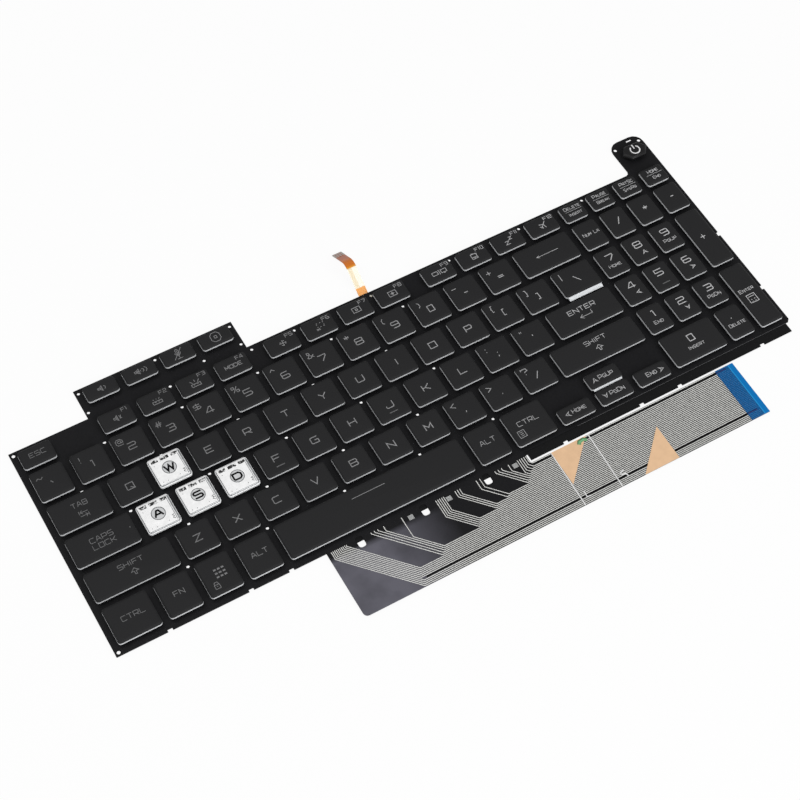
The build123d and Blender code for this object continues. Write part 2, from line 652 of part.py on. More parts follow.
def dome(name):
    """A rubber dome from the membrane up to the roof of its cap."""
    cx, cy = middle(name)
    x, y, width, depth = KEYS[name]
    r = min(DOME_R, depth / 2 - CAP_WALL - DOME_SEAT)
    rise = ROOF_Z - TOP_Z
    flats = SEEN_FLATS if name in CLEAR else DOME_FLATS
    inner = r * math.cos(math.pi / flats)
    draft = math.degrees(math.atan(inner * (1 - DOME_TOP_SHARE) / rise))
    seat = flat_face(ring(cx, cy, r, flats))
    return extrude(Pos(0, 0, TOP_Z) * seat, amount=rise, taper=draft)


# Power key: a hexagonal cap over its own dome
half = POWER_WIDTH / 2
deep = POWER_DEPTH / 2
flat = POWER_FLAT / 2
hexagon = [(-half, 0), (-flat, -deep), (flat, -deep), (half, 0), (flat, deep), (-flat, deep)]
power_key = raised(flat_face([(POWER_X + x, POWER_Y + y) for x, y in hexagon]))
room_x = flat - POWER_ROOM
room_y = deep - CAP_WALL
low_y = POWER_Y - room_y
high_y = POWER_Y + room_y
power_key -= block(POWER_X - room_x, POWER_X + room_x, low_y, high_y, CAP_Z - CUT_OVER, ROOF_Z)
KEYS["power"] = (POWER_X - half, POWER_Y - deep, POWER_WIDTH, POWER_DEPTH)

# Every node and its solids
nodes = {
    "base_plate": [base_plate],
    "switch_membrane": [switch_membrane],
    "tail_stiffener": [tail_stiffener],
    "tail_tape_patches": [patch_a, patch_b],
    "light_guide": [light_guide],
    "back_film": [back_film],
    "led_flex": [led_flex],
    "led_flex_contacts": [led_flex_contacts],
    "backlight_lamps": lamps,
    "rubber_domes": [dome(name) for name in KEYS],
    "power_key": [power_key],
}
for name in SINGLE:
    nodes[f"{name}_key"] = [clear_cap(name) if name in CLEAR else cap_shell(name)]
for group, names in GROUPS.items():
    nodes[group] = [cap_shell(name) for name in names]
for name in CLEAR:
    nodes[f"{name}_outer_link"] = [outer_link(name)]
    nodes[f"{name}_inner_link"] = [inner_link(name)]

os.makedirs("parts", exist_ok=True)
for node, shapes in nodes.items():
    solids = [solid for shape in shapes for solid in shape.solids()]
    export_step(Compound(children=solids) if len(solids) > 1 else solids[0], f"parts/{node}.step")
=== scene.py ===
import bmesh
import bpy
import math
from mathutils import Matrix, Vector


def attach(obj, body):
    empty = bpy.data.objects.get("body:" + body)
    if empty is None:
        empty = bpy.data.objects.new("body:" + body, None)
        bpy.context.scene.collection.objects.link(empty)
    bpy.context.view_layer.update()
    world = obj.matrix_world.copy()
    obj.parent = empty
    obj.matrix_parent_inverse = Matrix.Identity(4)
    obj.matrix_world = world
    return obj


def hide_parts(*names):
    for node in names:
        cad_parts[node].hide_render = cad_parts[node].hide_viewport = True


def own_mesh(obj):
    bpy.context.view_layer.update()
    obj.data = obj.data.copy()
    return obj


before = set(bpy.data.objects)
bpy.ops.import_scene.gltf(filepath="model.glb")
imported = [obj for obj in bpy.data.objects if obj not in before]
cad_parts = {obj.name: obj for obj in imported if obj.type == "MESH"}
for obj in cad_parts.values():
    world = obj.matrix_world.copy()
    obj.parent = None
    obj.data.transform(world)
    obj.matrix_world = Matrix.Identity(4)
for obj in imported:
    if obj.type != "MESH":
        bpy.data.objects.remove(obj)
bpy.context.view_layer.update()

# Back film, light guide and lamps: the backlight's clear acrylic sheet, the black film that closes it
# below, and four white lamps at its back edge. They are stuck under the base plate and show through
# its holes.


def tone(red, green, blue):
    """A colour from its 0 to 255 values on screen."""
    steps = [c / 255 for c in (red, green, blue)]
    return [c / 12.92 if c < 0.04045 else ((c + 0.055) / 1.055) ** 2.4 for c in steps] + [1.0]


def finish(name, colour, rough, grain, depth, spread=0.12, **sockets):
    """A moulded or coated finish: fine grain in colour, gloss and relief on the piece's own coordinates."""
    material = bpy.data.materials.new(name)
    material.use_nodes = True
    nodes = material.node_tree.nodes
    links = material.node_tree.links
    shader = nodes["Principled BSDF"]
    place = nodes.new("ShaderNodeTexCoord")
    noise = nodes.new("ShaderNodeTexNoise")
    noise.inputs["Scale"].default_value = grain
    noise.inputs["Detail"].default_value = 4
    links.new(place.outputs["Object"], noise.inputs["Vector"])
    ramp = nodes.new("ShaderNodeValToRGB")
    ramp.color_ramp.elements[0].position = 0.3
    ramp.color_ramp.elements[1].position = 0.7
    ramp.color_ramp.elements[0].color = [c * (1 - spread) for c in colour[:3]] + [1]
    ramp.color_ramp.elements[1].color = [min(1, c * (1 + spread)) for c in colour[:3]] + [1]
    links.new(noise.outputs["Fac"], ramp.inputs["Fac"])
    links.new(ramp.outputs["Color"], shader.inputs["Base Color"])
    gloss = nodes.new("ShaderNodeMapRange")
    gloss.inputs["To Min"].default_value = max(0.03, rough - 0.08)
    gloss.inputs["To Max"].default_value = min(1, rough + 0.08)
    links.new(noise.outputs["Fac"], gloss.inputs["Value"])
    links.new(gloss.outputs["Result"], shader.inputs["Roughness"])
    bump = nodes.new("ShaderNodeBump")
    bump.inputs["Strength"].default_value = 0.5
    bump.inputs["Distance"].default_value = depth
    links.new(noise.outputs["Fac"], bump.inputs["Height"])
    links.new(bump.outputs["Normal"], shader.inputs["Normal"])
    for socket, value in sockets.items():
        shader.inputs[socket.replace("_", " ")].default_value = value
    return material


def dress(node, material):
    """Give a node of the frame its finish."""
    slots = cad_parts[node].data.materials
    slots.clear()
    slots.append(material)


dress("back_film", finish("black_film", tone(22, 22, 24), 0.4, 900, 0.00002))
guide_acrylic = finish("guide_acrylic", tone(226, 232, 236), 0.3, 500, 0.00001, 0.04)
dress("light_guide", guide_acrylic)
dress("backlight_lamps", finish("lamp_resin", tone(244, 240, 214), 0.35, 2500, 0.00001, 0.05))

# Backlight circuit: an amber polyimide strip that arches out from under the back edge, cream where its
# cover film is, with a tinned contact end. It is folded once by hand and springs up in a soft bend.

LAYOUT_X = 162.8
LAYOUT_Y = 23.01


def at(x, y):
    """A layout point, from the front left corner of the digit row, in metres of the part's frame."""
    return (x - LAYOUT_X) / 1000, (y + LAYOUT_Y) / 1000


def bands(material, axis, start, end, stops, blend="EASE"):
    """Fields of colour across a piece, from start to end on one axis of its own coordinates."""
    nodes = material.node_tree.nodes
    links = material.node_tree.links
    place = nodes.new("ShaderNodeTexCoord")
    parts = nodes.new("ShaderNodeSeparateXYZ")
    links.new(place.outputs["Object"], parts.inputs["Vector"])
    along = nodes.new("ShaderNodeMapRange")
    along.inputs["From Min"].default_value = start
    along.inputs["From Max"].default_value = end
    links.new(parts.outputs[axis], along.inputs["Value"])
    ramp = nodes.new("ShaderNodeValToRGB")
    ramp.color_ramp.interpolation = blend
    while len(ramp.color_ramp.elements) < len(stops):
        ramp.color_ramp.elements.new(0.5)
    for element, (share, colour) in zip(ramp.color_ramp.elements, stops):
        element.position = share
        element.color = colour
    links.new(along.outputs["Result"], ramp.inputs["Fac"])
    return ramp.outputs["Color"]


def paint(material, colour, other=None, share=None):
    """Lead a field of colour to a finish, or two of them mixed by the share that a third gives."""
    nodes = material.node_tree.nodes
    links = material.node_tree.links
    if other:
        mix = nodes.new("ShaderNodeMix")
        mix.data_type = "RGBA"
        links.new(share, mix.inputs[0])
        links.new(colour, mix.inputs[6])
        links.new(other, mix.inputs[7])
        colour = mix.outputs[2]
    links.new(colour, nodes["Principled BSDF"].inputs["Base Color"])


FLEX_LEFT = at(166.1, 0)[0]
FLEX_RIGHT = at(170.7, 0)[0]
FLEX_FOOT = at(0, 29.63)[1]
FLEX_TIP = at(0, 54.6)[1]
amber = tone(240, 158, 52)
gold = tone(224, 150, 22)
rust = tone(210, 116, 44)
brown = tone(182, 108, 78)
# Over the bend the amber runs through orange and rust to brown: the strip's own amber, with a painted
# highlight in the orange on the curve of the bend.
flex_ends = [(0.46, gold), (0.5, tone(206, 112, 20)), (0.63, rust), (0.78, brown), (1.0, brown)]
beige = tone(240, 224, 190)
cream = tone(255, 248, 230)
polyimide = finish("amber_polyimide", amber, 0.35, 1500, 0.000006, Coat_Weight=0.15)
flex_foot = [(0.0, cream), (0.004, amber), (0.125, amber)]
left_stops = flex_foot + [(0.135, beige), (0.45, beige)] + flex_ends
right_stops = flex_foot + [(0.135, cream), (0.45, cream)] + flex_ends
left_run = bands(polyimide, "Y", FLEX_FOOT, FLEX_TIP, left_stops)
right_run = bands(polyimide, "Y", FLEX_FOOT, FLEX_TIP, right_stops)
dark, light = (0, 0, 0, 1), (1, 1, 1, 1)
cover_stops = [(0.0, light), (0.12, dark), (0.44, dark), (0.5, light)]
across = bands(polyimide, "X", FLEX_LEFT, FLEX_RIGHT, cover_stops)
paint(polyimide, left_run, right_run, across)
dress("led_flex", polyimide)
tinned = finish("tinned_contact", tone(176, 164, 156), 0.35, 3000, 0.000004, Metallic=0.3)
tin = tone(172, 166, 158)
copper = tone(176, 104, 84)
stripes = [(0.0, tin), (0.2, copper), (0.28, tin), (0.44, copper), (0.52, tin), (0.7, copper), (0.78, tin)]
paint(tinned, bands(tinned, "X", FLEX_LEFT, FLEX_RIGHT, stripes, "CONSTANT"))
dress("led_flex_contacts", tinned)

# Base plate: black coated steel, blanked with its holes and notches. It carries the whole key field and
# shows as the lower layer along the front right edge and round the holes. Small black bars at the back of
# the tail's slots are painted shadow, the shade that the plate's edge casts there.

plate_coat = finish("plate_coat", tone(20, 20, 21), 0.5, 1800, 0.00001, Specular_IOR_Level=0.12)
dress("base_plate", plate_coat)


def near(value, target):
    """Whether two lengths are the same, to a hundredth of a millimetre."""
    return abs(value - target) < 0.00001


def mark(obj, kind, test):
    """In edit mode, select only the faces, edges or verts that pass the test."""
    bpy.ops.mesh.select_mode(type={"faces": "FACE", "edges": "EDGE", "verts": "VERT"}[kind])
    bpy.ops.mesh.select_all(action="DESELECT")
    shape = bmesh.from_edit_mesh(obj.data)
    for part in getattr(shape, kind):
        part.select_set(test(part))
    shape.select_flush_mode()
    bmesh.update_edit_mesh(obj.data)


def bar(name, low, high, edge, material):
    """A small bar between two corners with its upper edges rounded."""
    size = [b - a for a, b in zip(low, high)]
    bpy.ops.object.select_all(action="DESELECT")
    bpy.ops.mesh.primitive_cube_add(size=1, location=[(a + b) / 2 for a, b in zip(low, high)])
    obj = bpy.context.object
    obj.name = name
    obj.scale = size
    bpy.ops.object.transform_apply(location=True, rotation=False, scale=True)
    bpy.ops.object.mode_set(mode="EDIT")
    mark(obj, "edges", lambda e: all(near(v.co.z, high[2]) for v in e.verts))
    bpy.ops.mesh.bevel(offset=edge, segments=2, affect="EDGES")
    bpy.ops.object.mode_set(mode="OBJECT")
    bpy.ops.object.shade_smooth_by_angle(angle=math.radians(35))
    obj.data.materials.append(material)
    return obj


SLOT_FIRST = 106.45
SLOT_PITCH = 30.5
SLOT_SHADOW_LEFT = 1.6
SLOT_SHADOW_RIGHT = 1.9
SLOT_SHADOW_FRONT = -77.3
PLATE_FRONT = -75.65
PLATE_LOW = 0.00055
PLATE_TOP = 0.00095
SLOT_SHADOW_EDGE = 0.00015
# Painted shadow: a small black bar at the back of each tail slot stands for the shade the plate's edge
# casts there.
for i in range(3):
    x = SLOT_FIRST + SLOT_PITCH * i
    low = (*at(x - SLOT_SHADOW_LEFT, SLOT_SHADOW_FRONT), PLATE_LOW)
    high = (*at(x + SLOT_SHADOW_RIGHT, PLATE_FRONT), PLATE_TOP)
    shadow_bar = bar(f"slot_shadow_{i + 1}", low, high, SLOT_SHADOW_EDGE, plate_coat)
    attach(shadow_bar, "module")

# Switch membrane: printed polyester film, black over the field and on the tail that leaves the front edge.
# Silver ink lines run down the tail side by side to its contact end, under a clear lacquer.

film_black = finish("membrane_film", tone(22, 22, 23), 0.5, 1200, 0.000008, Specular_IOR_Level=0.12)
film_nodes = film_black.node_tree.nodes
film_links = film_black.node_tree.links
film_place = film_nodes.new("ShaderNodeSeparateXYZ")
film_links.new(film_nodes["Texture Coordinate"].outputs["Object"], film_place.inputs["Vector"])
# Painted sheen: the tail's left part is painted grey-purple, a painted reflection that fades out to the
# right and back towards the key field, broken up by noise clouds.
sheen_x = film_nodes.new("ShaderNodeMapRange")
sheen_x.inputs["From Min"].default_value = at(146, 0)[0]
sheen_x.inputs["From Max"].default_value = at(112, 0)[0]
film_links.new(film_place.outputs["X"], sheen_x.inputs["Value"])
sheen_y = film_nodes.new("ShaderNodeMapRange")
sheen_y.inputs["From Min"].default_value = at(0, -78.5)[1]
sheen_y.inputs["From Max"].default_value = at(0, -81.5)[1]
film_links.new(film_place.outputs["Y"], sheen_y.inputs["Value"])
cloud = film_nodes.new("ShaderNodeTexNoise")
cloud.inputs["Scale"].default_value = 70
cloud.inputs["Detail"].default_value = 3
film_links.new(film_nodes["Texture Coordinate"].outputs["Object"], cloud.inputs["Vector"])
sheen_clouds = film_nodes.new("ShaderNodeMapRange")
sheen_clouds.inputs["From Min"].default_value = 0.3
sheen_clouds.inputs["From Max"].default_value = 0.55
sheen_clouds.inputs["To Min"].default_value = 0.7
film_links.new(cloud.outputs["Fac"], sheen_clouds.inputs["Value"])
sheen = film_nodes.new("ShaderNodeMath")
sheen.operation = "MULTIPLY"
film_links.new(sheen_x.outputs["Result"], sheen.inputs[0])
film_links.new(sheen_y.outputs["Result"], sheen.inputs[1])
grain = film_nodes.new("ShaderNodeMapRange")
grain.inputs["To Max"].default_value = 0.05
film_links.new(film_nodes["Noise Texture"].outputs["Fac"], grain.inputs["Value"])
painted_sheen_share = film_nodes.new("ShaderNodeMath")
painted_sheen_share.operation = "MULTIPLY_ADD"
film_links.new(sheen.outputs["Value"], painted_sheen_share.inputs[0])
film_links.new(sheen_clouds.outputs["Result"], painted_sheen_share.inputs[1])
film_links.new(grain.outputs["Result"], painted_sheen_share.inputs[2])
# The film's black at 0 runs to the grey-purple of the painted sheen at 1.
film_ramp = film_nodes["Color Ramp"].color_ramp
film_ramp.elements[0].position = 0.0
film_ramp.elements[0].color = tone(19, 19, 20)
film_ramp.elements[1].position = 1.0
film_ramp.elements[1].color = tone(98, 97, 106)
film_links.new(painted_sheen_share.outputs["Value"], film_nodes["Color Ramp"].inputs["Fac"])
dress("switch_membrane", film_black)
FILM_TOP = 0.0012
PRINT_FLAT = 0.06


def pick(obj):
    """Make obj the only selected object, and the active one."""
    bpy.ops.object.select_all(action="DESELECT")
    obj.select_set(True)
    bpy.context.view_layer.objects.active = obj


def new_print(name):
    """An empty flat curve for printed lines, one line per spline."""
    data = bpy.data.curves.new(name, "CURVE")
    data.dimensions = "2D"
    data.fill_mode = "NONE"
    data.bevel_depth = 0.0001
    data.bevel_resolution = 0
    obj = bpy.data.objects.new(name, data)
    bpy.context.scene.collection.objects.link(obj)
    return obj


def ink_line(obj, points, width):
    """Draw one printed line of that width through points."""
    spline = obj.data.splines.new("POLY")
    spline.points.add(len(points) - 1)
    for spot, (x, y) in zip(spline.points, points):
        spot.co = (x, y, 0, 1)
        spot.radius = width / 2 / obj.data.bevel_depth


def lay_print(obj, z, material, body):
    """Make printed lines a thin mesh at height z and let it ride."""
    pick(obj)
    bpy.ops.object.convert(target="MESH")
    bpy.ops.object.mode_set(mode="EDIT")
    bpy.ops.mesh.select_all(action="SELECT")
    bpy.ops.transform.resize(value=(1, 1, PRINT_FLAT))
    bpy.ops.transform.translate(value=(0, 0, z))
    bpy.ops.object.mode_set(mode="OBJECT")
    obj.data.materials.append(material)
    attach(obj, body)


ROOT_Y = -76.1
TAIL_END_X = 291.4
LINE_SLANT = 0.93
LANE_FIRST = -107.75
LANE = 0.785


def trace(start_x, bend_y, lane_y):
    """One ink line: straight out of the field, slanting across to its lane, then along the tail."""
    reach = start_x + LINE_SLANT * (bend_y - lane_y)
    return [at(start_x, ROOT_Y), at(start_x, bend_y), at(reach, lane_y), at(TAIL_END_X, lane_y)]


tail_lines = new_print("tail_lines")
line_groups = [
    [(93.4 + 0.78 * i, -79.8 + 0.33 * i) for i in range(10)],
    [(112.1, -76.8), (113.7, -76.8), (115.3, -76.8), (118.1, -78.4), (126.55, -86.2)],
    [(143.1 + 0.94 * i, -84.8 + 0.42 * i) for i in range(5)],
    [(152.45 + 1.15 * i, -79.2 + 0.2 * i) for i in range(3)],
    [(162.85 + 1.75 * i, -80.8 + 0.4 * i) for i in range(2)],
    [(172.15, -77.2), (173.65, -77.2), (175.3, -77.2), (178.7, -79.4)],
    [(183.2 + 1.05 * i, -82.8 + 0.9 * i) for i in range(5)],
]
line_starts = [start for group in line_groups for start in group]
# Two lanes stay free of silver, one after each of these lines
LOW_BREAK = 3
HIGH_BREAK = 32
lanes = [LANE_FIRST + LANE * (i + (i > LOW_BREAK) + (i > HIGH_BREAK)) for i in range(len(line_starts))]
low_guard = lanes[LOW_BREAK] + LANE
high_guard = lanes[HIGH_BREAK] + LANE
for (start_x, bend_y), lane in zip(line_starts, lanes):
    ink_line(tail_lines, trace(start_x, bend_y, lane), 0.0004)
silver_ink = finish("silver_ink", tone(232, 232, 228), 0.4, 4000, 0.000003, 0.06, Specular_IOR_Level=0.3)
lay_print(tail_lines, FILM_TOP, silver_ink, "module")
film_marks = new_print("film_marks")
for x in (129.2, 147.6, 180.2):
    for i in range(8):
        ink_line(film_marks, [at(x + 0.3 * i, -76.8), at(x + 0.3 * i, -79.0)], 0.00034)
window_grey = finish("window_grey", tone(176, 177, 176), 0.5, 1500, 0.000004, 0.12)
lay_print(film_marks, FILM_TOP, window_grey, "module")
# Painted highlight: a thin grey line along the membrane's front edge on the lip, where the film's edge
# catches the light.
film_edge_highlight = new_print("film_edge_highlight")
ink_line(film_edge_highlight, [at(215, -74.15), at(326.6, -74.15)], 0.0002)
edge_highlight_grey = finish("edge_highlight_grey", tone(84, 84, 86), 0.5, 1500, 0.000004, 0.2)
lay_print(film_edge_highlight, FILM_TOP, edge_highlight_grey, "module")
guard_lines = new_print("guard_lines")
for start_x, end_x, lane in ((122, 218, low_guard), (190, 286, high_guard)):
    ink_line(guard_lines, [at(start_x, lane), at(end_x, lane)], 0.0008)
ink_line(guard_lines, [at(217, low_guard), at(286, low_guard)], 0.00115)
guard_ink = finish("guard_ink", tone(12, 12, 13), 0.5, 2000, 0.000003, Specular_IOR_Level=0.1)
lay_print(guard_lines, FILM_TOP, guard_ink, "module")

# Tail stiffener and tape patches: a blue polyester strip under the contact end and two bits of tan crepe
# tape cut across the corner, all stuck on by hand, with white lines and a green dab drawn by hand too.

blue = finish("stiffener_blue", tone(10, 72, 134), 0.4, 900, 0.000006, Specular_IOR_Level=0.2)
deep_blue = tone(6, 78, 136)
edge_blue = tone(0, 112, 182)
blue_stops = [(0.0, deep_blue), (0.7, tone(6, 84, 142)), (0.735, tone(40, 160, 222))]
blue_stops += [(0.765, edge_blue), (1.0, edge_blue)]
paint(blue, bands(blue, "X", at(282.9, 0)[0], at(292.25, 0)[0], blue_stops, "LINEAR"))
dress("tail_stiffener", blue)
BLUE_TOP = 0.0014
blue_lines = new_print("blue_lines")
for lane in lanes:
    ink_line(blue_lines, [at(283, lane), at(289.4, lane)], 0.00036)
lay_print(blue_lines, BLUE_TOP, finish("blue_lines", tone(10, 100, 160), 0.4, 900, 0.000003), "module")
navy_lines = new_print("navy_lines")
for lane in (low_guard, high_guard):
    ink_line(navy_lines, [at(283, lane), at(288, lane)], 0.0007)
lay_print(navy_lines, BLUE_TOP, finish("navy_lines", tone(8, 34, 98), 0.4, 900, 0.000003), "module")
tape = finish("crepe_tape", tone(226, 188, 150), 0.8, 300, 0.00002, 0.05, Specular_IOR_Level=0.2)
dress("tail_tape_patches", tape)
chalk_lines = new_print("chalk_lines")
for start_x, end_x in ((197.75, 197.0), (216.6, 215.6)):
    ink_line(chalk_lines, [at(start_x, -79.95), at(end_x, -108.25)], 0.0006)
for x, y, mark_line in (
    (200.6, -104.6, [(-0.7, 2.4), (-0.8, -0.7), (0.9, -0.8)]),
    (219.6, -104.6, [(0.5, 2.8), (-1.3, 2.2), (-1.1, 1.0), (0.6, 1.2), (1.0, -0.7)]),
):
    ink_line(chalk_lines, [at(x + u, y + v) for u, v in mark_line], 0.0006)
chalk_white = finish("chalk_white", tone(240, 240, 240), 0.7, 3000, 0.000003, 0.03)
CHALK_TOP = FILM_TOP + 0.00004
lay_print(chalk_lines, CHALK_TOP, chalk_white, "module")
green_dab = new_print("green_dab")
ink_line(green_dab, [at(210.5, -82.4), at(211.3, -81.2), at(213.4, -80.9), at(214.8, -81.9)], 0.0017)
green_ink = finish("green_dab", tone(112, 170, 120), 0.6, 2500, 0.000004)
DAB_TOP = FILM_TOP + 0.0001
lay_print(green_dab, DAB_TOP, green_ink, "module")

# Rubber domes: one moulded silicone spring per key, glued to the membrane, which a pressed key folds down.
# Each key that moves has a dome of its own, and the rest are joined into one piece.

key_places = {}
CAP_GAP = 3.4
KEY_PITCH = 18.2


def key_row(names, y, depth, x=0.0, pitch=KEY_PITCH):
    """Note each key's middle, width and depth along a row. A name may carry its width in pitches."""
    for name in names.split():
        name, _, units = name.partition(":")
        step = float(units or 1) * pitch
        cx, cy = at(x + (step - CAP_GAP) / 2, y + depth / 2)
        key_places[name] = (cx, cy, (step - CAP_GAP) / 1000, depth / 1000)
        x += step


FUNCTION_ROW = (17.58, 9.4)
DIGIT_ROW = (0, 14.9)
UPPER_ROW = (-17.45, 14.6)
HOME_ROW = (-34.9, 14.6)
LOWER_ROW = (-52.22, 14.1)
BOTTOM_ROW = (-72.65, 17.2)
SOUND_ROW = (34.9, 7.9)
SOUND_X = 37.1
FUNCTION_PITCH = 18.34
ARROW_X = 209.3
ARROW_PITCH = 59.15 / 3
ARROW_DEPTH = 7.7
UP_ARROW_Y = -63.55
PAD_X = 268.8
PAD_PITCH = 15
PAD_LAST_X = 313.8
key_row("tilde d1 d2 d3 d4 d5 d6 d7 d8 d9 d0 minus equals backspace:1.75", *DIGIT_ROW)
key_row("tab:1.5 q w e r t y u i o p bracket_left bracket_right backslash:1.25", *UPPER_ROW)
key_row("caps_lock:1.75 a s d f g h j k l semicolon quote enter:2", *HOME_ROW)
key_row("left_shift:2.25 z x c v b n m comma period slash right_shift:2.5", *LOWER_ROW)
key_row("left_ctrl:1.25 fn system left_alt space:5 right_alt right_ctrl:1.25", *BOTTOM_ROW)
key_row("left_arrow down_arrow right_arrow", BOTTOM_ROW[0], ARROW_DEPTH, ARROW_X, ARROW_PITCH)
key_row("up_arrow", UP_ARROW_Y, ARROW_DEPTH, ARROW_X + ARROW_PITCH, ARROW_PITCH)
key_row("escape", *FUNCTION_ROW)
for names, x in (("f1 f2 f3 f4", 36.66), ("f5 f6 f7 f8", 115.875), ("f9 f10 f11 f12", 195.09)):
    key_row(names, *FUNCTION_ROW, x, FUNCTION_PITCH)
key_row("volume_down volume_up microphone tool", *SOUND_ROW, SOUND_X)
key_row("delete pause print home", *FUNCTION_ROW, PAD_X, PAD_PITCH)
key_row("pad_lock pad_slash pad_star pad_minus", *DIGIT_ROW, PAD_X, PAD_PITCH)
key_row("pad_7 pad_8 pad_9", *UPPER_ROW, PAD_X, PAD_PITCH)
key_row("pad_4 pad_5 pad_6", *HOME_ROW, PAD_X, PAD_PITCH)
key_row("pad_1 pad_2 pad_3", *LOWER_ROW, PAD_X, PAD_PITCH)
key_row("pad_zero:2 pad_period", -71.9, 16.45, PAD_X, PAD_PITCH)
key_row("pad_plus", -34.7, 31.85, PAD_LAST_X, PAD_PITCH)
key_row("pad_enter", -72.2, 34.08, PAD_LAST_X, PAD_PITCH)
power_x, power_y = at(319.925, 38.83)
key_places["power"] = (power_x, power_y, 0.0131, 0.00795)
clear_keys = "w a s d".split()
single_keys = clear_keys + "f j escape backspace tab backslash caps_lock enter left_shift".split()
single_keys += "right_shift left_arrow up_arrow down_arrow right_arrow left_ctrl fn system".split()
single_keys += "left_alt space right_alt right_ctrl volume_down volume_up microphone tool".split()
single_keys += "pad_plus pad_enter pad_zero".split()
key_groups = {
    "letter_keys": "q e r t y u i o p bracket_left bracket_right g h k l semicolon quote z x c v b n m "
    "comma period slash",
    "digit_keys": "tilde d1 d2 d3 d4 d5 d6 d7 d8 d9 d0 minus equals",
    "function_keys": "f1 f2 f3 f4 f5 f6 f7 f8 f9 f10 f11 f12 delete pause print home",
    "pad_keys": "pad_lock pad_slash pad_star pad_minus pad_7 pad_8 pad_9 pad_4 pad_5 pad_6 pad_1 pad_2 "
    "pad_3 pad_period",
}
DOME_R = 0.00298
DOME_ROOM = 0.00155


def copy_of(blank, name):
    """A copy of a blank with a mesh of its own."""
    obj = blank.copy()
    obj.data = blank.data.copy()
    obj.name = name
    bpy.context.scene.collection.objects.link(obj)
    return obj


def join(objs, name):
    """Join pieces into the first one and rename it."""
    pick(objs[0])
    for obj in objs:
        obj.select_set(True)
    if len(objs) > 1:
        bpy.ops.object.join()
    objs[0].name = name
    objs[0].data.name = name
    return objs[0]


bpy.ops.object.select_all(action="DESELECT")
bpy.ops.mesh.primitive_circle_add(vertices=20, radius=DOME_R, fill_type="NGON", location=(0, 0, FILM_TOP))
dome_blank = bpy.context.object
bpy.ops.object.transform_apply(location=True, rotation=False, scale=False)
bpy.ops.object.mode_set(mode="EDIT")
dome_steps = [(0.00025, 1.0), (0.00035, 0.86), (0.0013, 0.8), (0.0008, 0.72), (0.0002, 0.84), (0.0002, 1.0)]
mark(dome_blank, "faces", lambda face: True)
bpy.ops.mesh.extrude_region_move(TRANSFORM_OT_translate={"value": (0, 0, dome_steps[0][0])})
for rise, share in dome_steps[1:]:
    bpy.ops.mesh.extrude_region_move(TRANSFORM_OT_translate={"value": (0, 0, rise)})
    bpy.ops.transform.resize(value=(share, share, 1))
bpy.ops.mesh.select_all(action="SELECT")
bpy.ops.mesh.normals_make_consistent(inside=False)
bpy.ops.object.mode_set(mode="OBJECT")
bpy.ops.object.shade_smooth_by_angle(angle=math.radians(40))
dome_rubber = finish("dome_silicone", tone(196, 198, 200), 0.5, 2500, 0.000008, 0.05, Subsurface_Weight=0.2)
dome_blank.data.materials.append(dome_rubber)


def dome_for(name, cx, cy, depth):
    """One dome in its place under a key."""
    obj = copy_of(dome_blank, f"{name}_dome")
    share = min(1, (depth / 2 - DOME_ROOM) / DOME_R)
    pick(obj)
    bpy.ops.object.mode_set(mode="EDIT")
    bpy.ops.mesh.select_all(action="SELECT")
    bpy.ops.transform.resize(value=(share, share, 1), center_override=(0, 0, FILM_TOP))
    bpy.ops.transform.translate(value=(cx, cy, 0))
    bpy.ops.object.mode_set(mode="OBJECT")
    return obj


still_domes = []
for name, (cx, cy, width, depth) in key_places.items():
    dome = dome_for(name, cx, cy, depth)
    if name in single_keys + ["power"]:
        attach(dome, "module")
        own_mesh(dome)
        if name == "w":
            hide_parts("rubber_domes")
    else:
        still_domes.append(dome)
still_dome_set = join(still_domes, "still_domes")
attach(still_dome_set, "module")
bpy.data.objects.remove(dome_blank)

# Scissor links: two white acetal frames per clear key, pinned across each other, hooked to the base
# plate below and clipped into the cap above.

acetal = finish("white_acetal", tone(232, 234, 234), 0.4, 2500, 0.000006, 0.04)
for name in clear_keys:
    dress(f"{name}_outer_link", acetal)
    dress(f"{name}_inner_link", acetal)

# Keycaps: two-shot plastic, a pale translucent shell with a dark skin over its top that is rolled over
# the edges, so that the foot of each wall stays pale. One blank is shaped and every cap is stretched
# from it.

CAP_W = 0.0148
CAP_D = 0.0146
CAP_Z = 0.003
CAP_TOP_Z = 0.0048
CAP_SLOPE = 0.0008
SKIRT_Z = CAP_Z + 0.001
CAP_WALL = 0.001
CAP_ROOM = 0.0013
CAP_CORNER = 0.0013
CAP_EDGE = 0.0005

bpy.ops.object.select_all(action="DESELECT")
bpy.ops.mesh.primitive_cube_add(size=1, location=(0, 0, (CAP_Z + CAP_TOP_Z) / 2))
cap_blank = bpy.context.object
cap_blank.scale = (CAP_W, CAP_D, CAP_TOP_Z - CAP_Z)
bpy.ops.object.transform_apply(location=True, rotation=False, scale=True)
bpy.ops.object.mode_set(mode="EDIT")
mark(cap_blank, "edges", lambda e: abs(e.verts[0].co.z - e.verts[1].co.z) > 0.001)
bpy.ops.mesh.bevel(offset=CAP_CORNER, segments=4, affect="EDGES")
bpy.ops.mesh.select_all(action="SELECT")
bpy.ops.mesh.bisect(plane_co=(0, 0, SKIRT_Z), plane_no=(0, 0, 1))
mark(cap_blank, "faces", lambda f: f.normal.z > 0.9)
slope = (1 - 2 * CAP_SLOPE / CAP_W, 1 - 2 * CAP_SLOPE / CAP_D, 1)
bpy.ops.transform.resize(value=slope, center_override=(0, 0, CAP_TOP_Z))
mark(cap_blank, "edges", lambda e: all(near(v.co.z, CAP_TOP_Z) for v in e.verts))
bpy.ops.mesh.bevel(offset=CAP_EDGE, segments=3, affect="EDGES")
mark(cap_blank, "faces", lambda f: f.normal.z < -0.9)
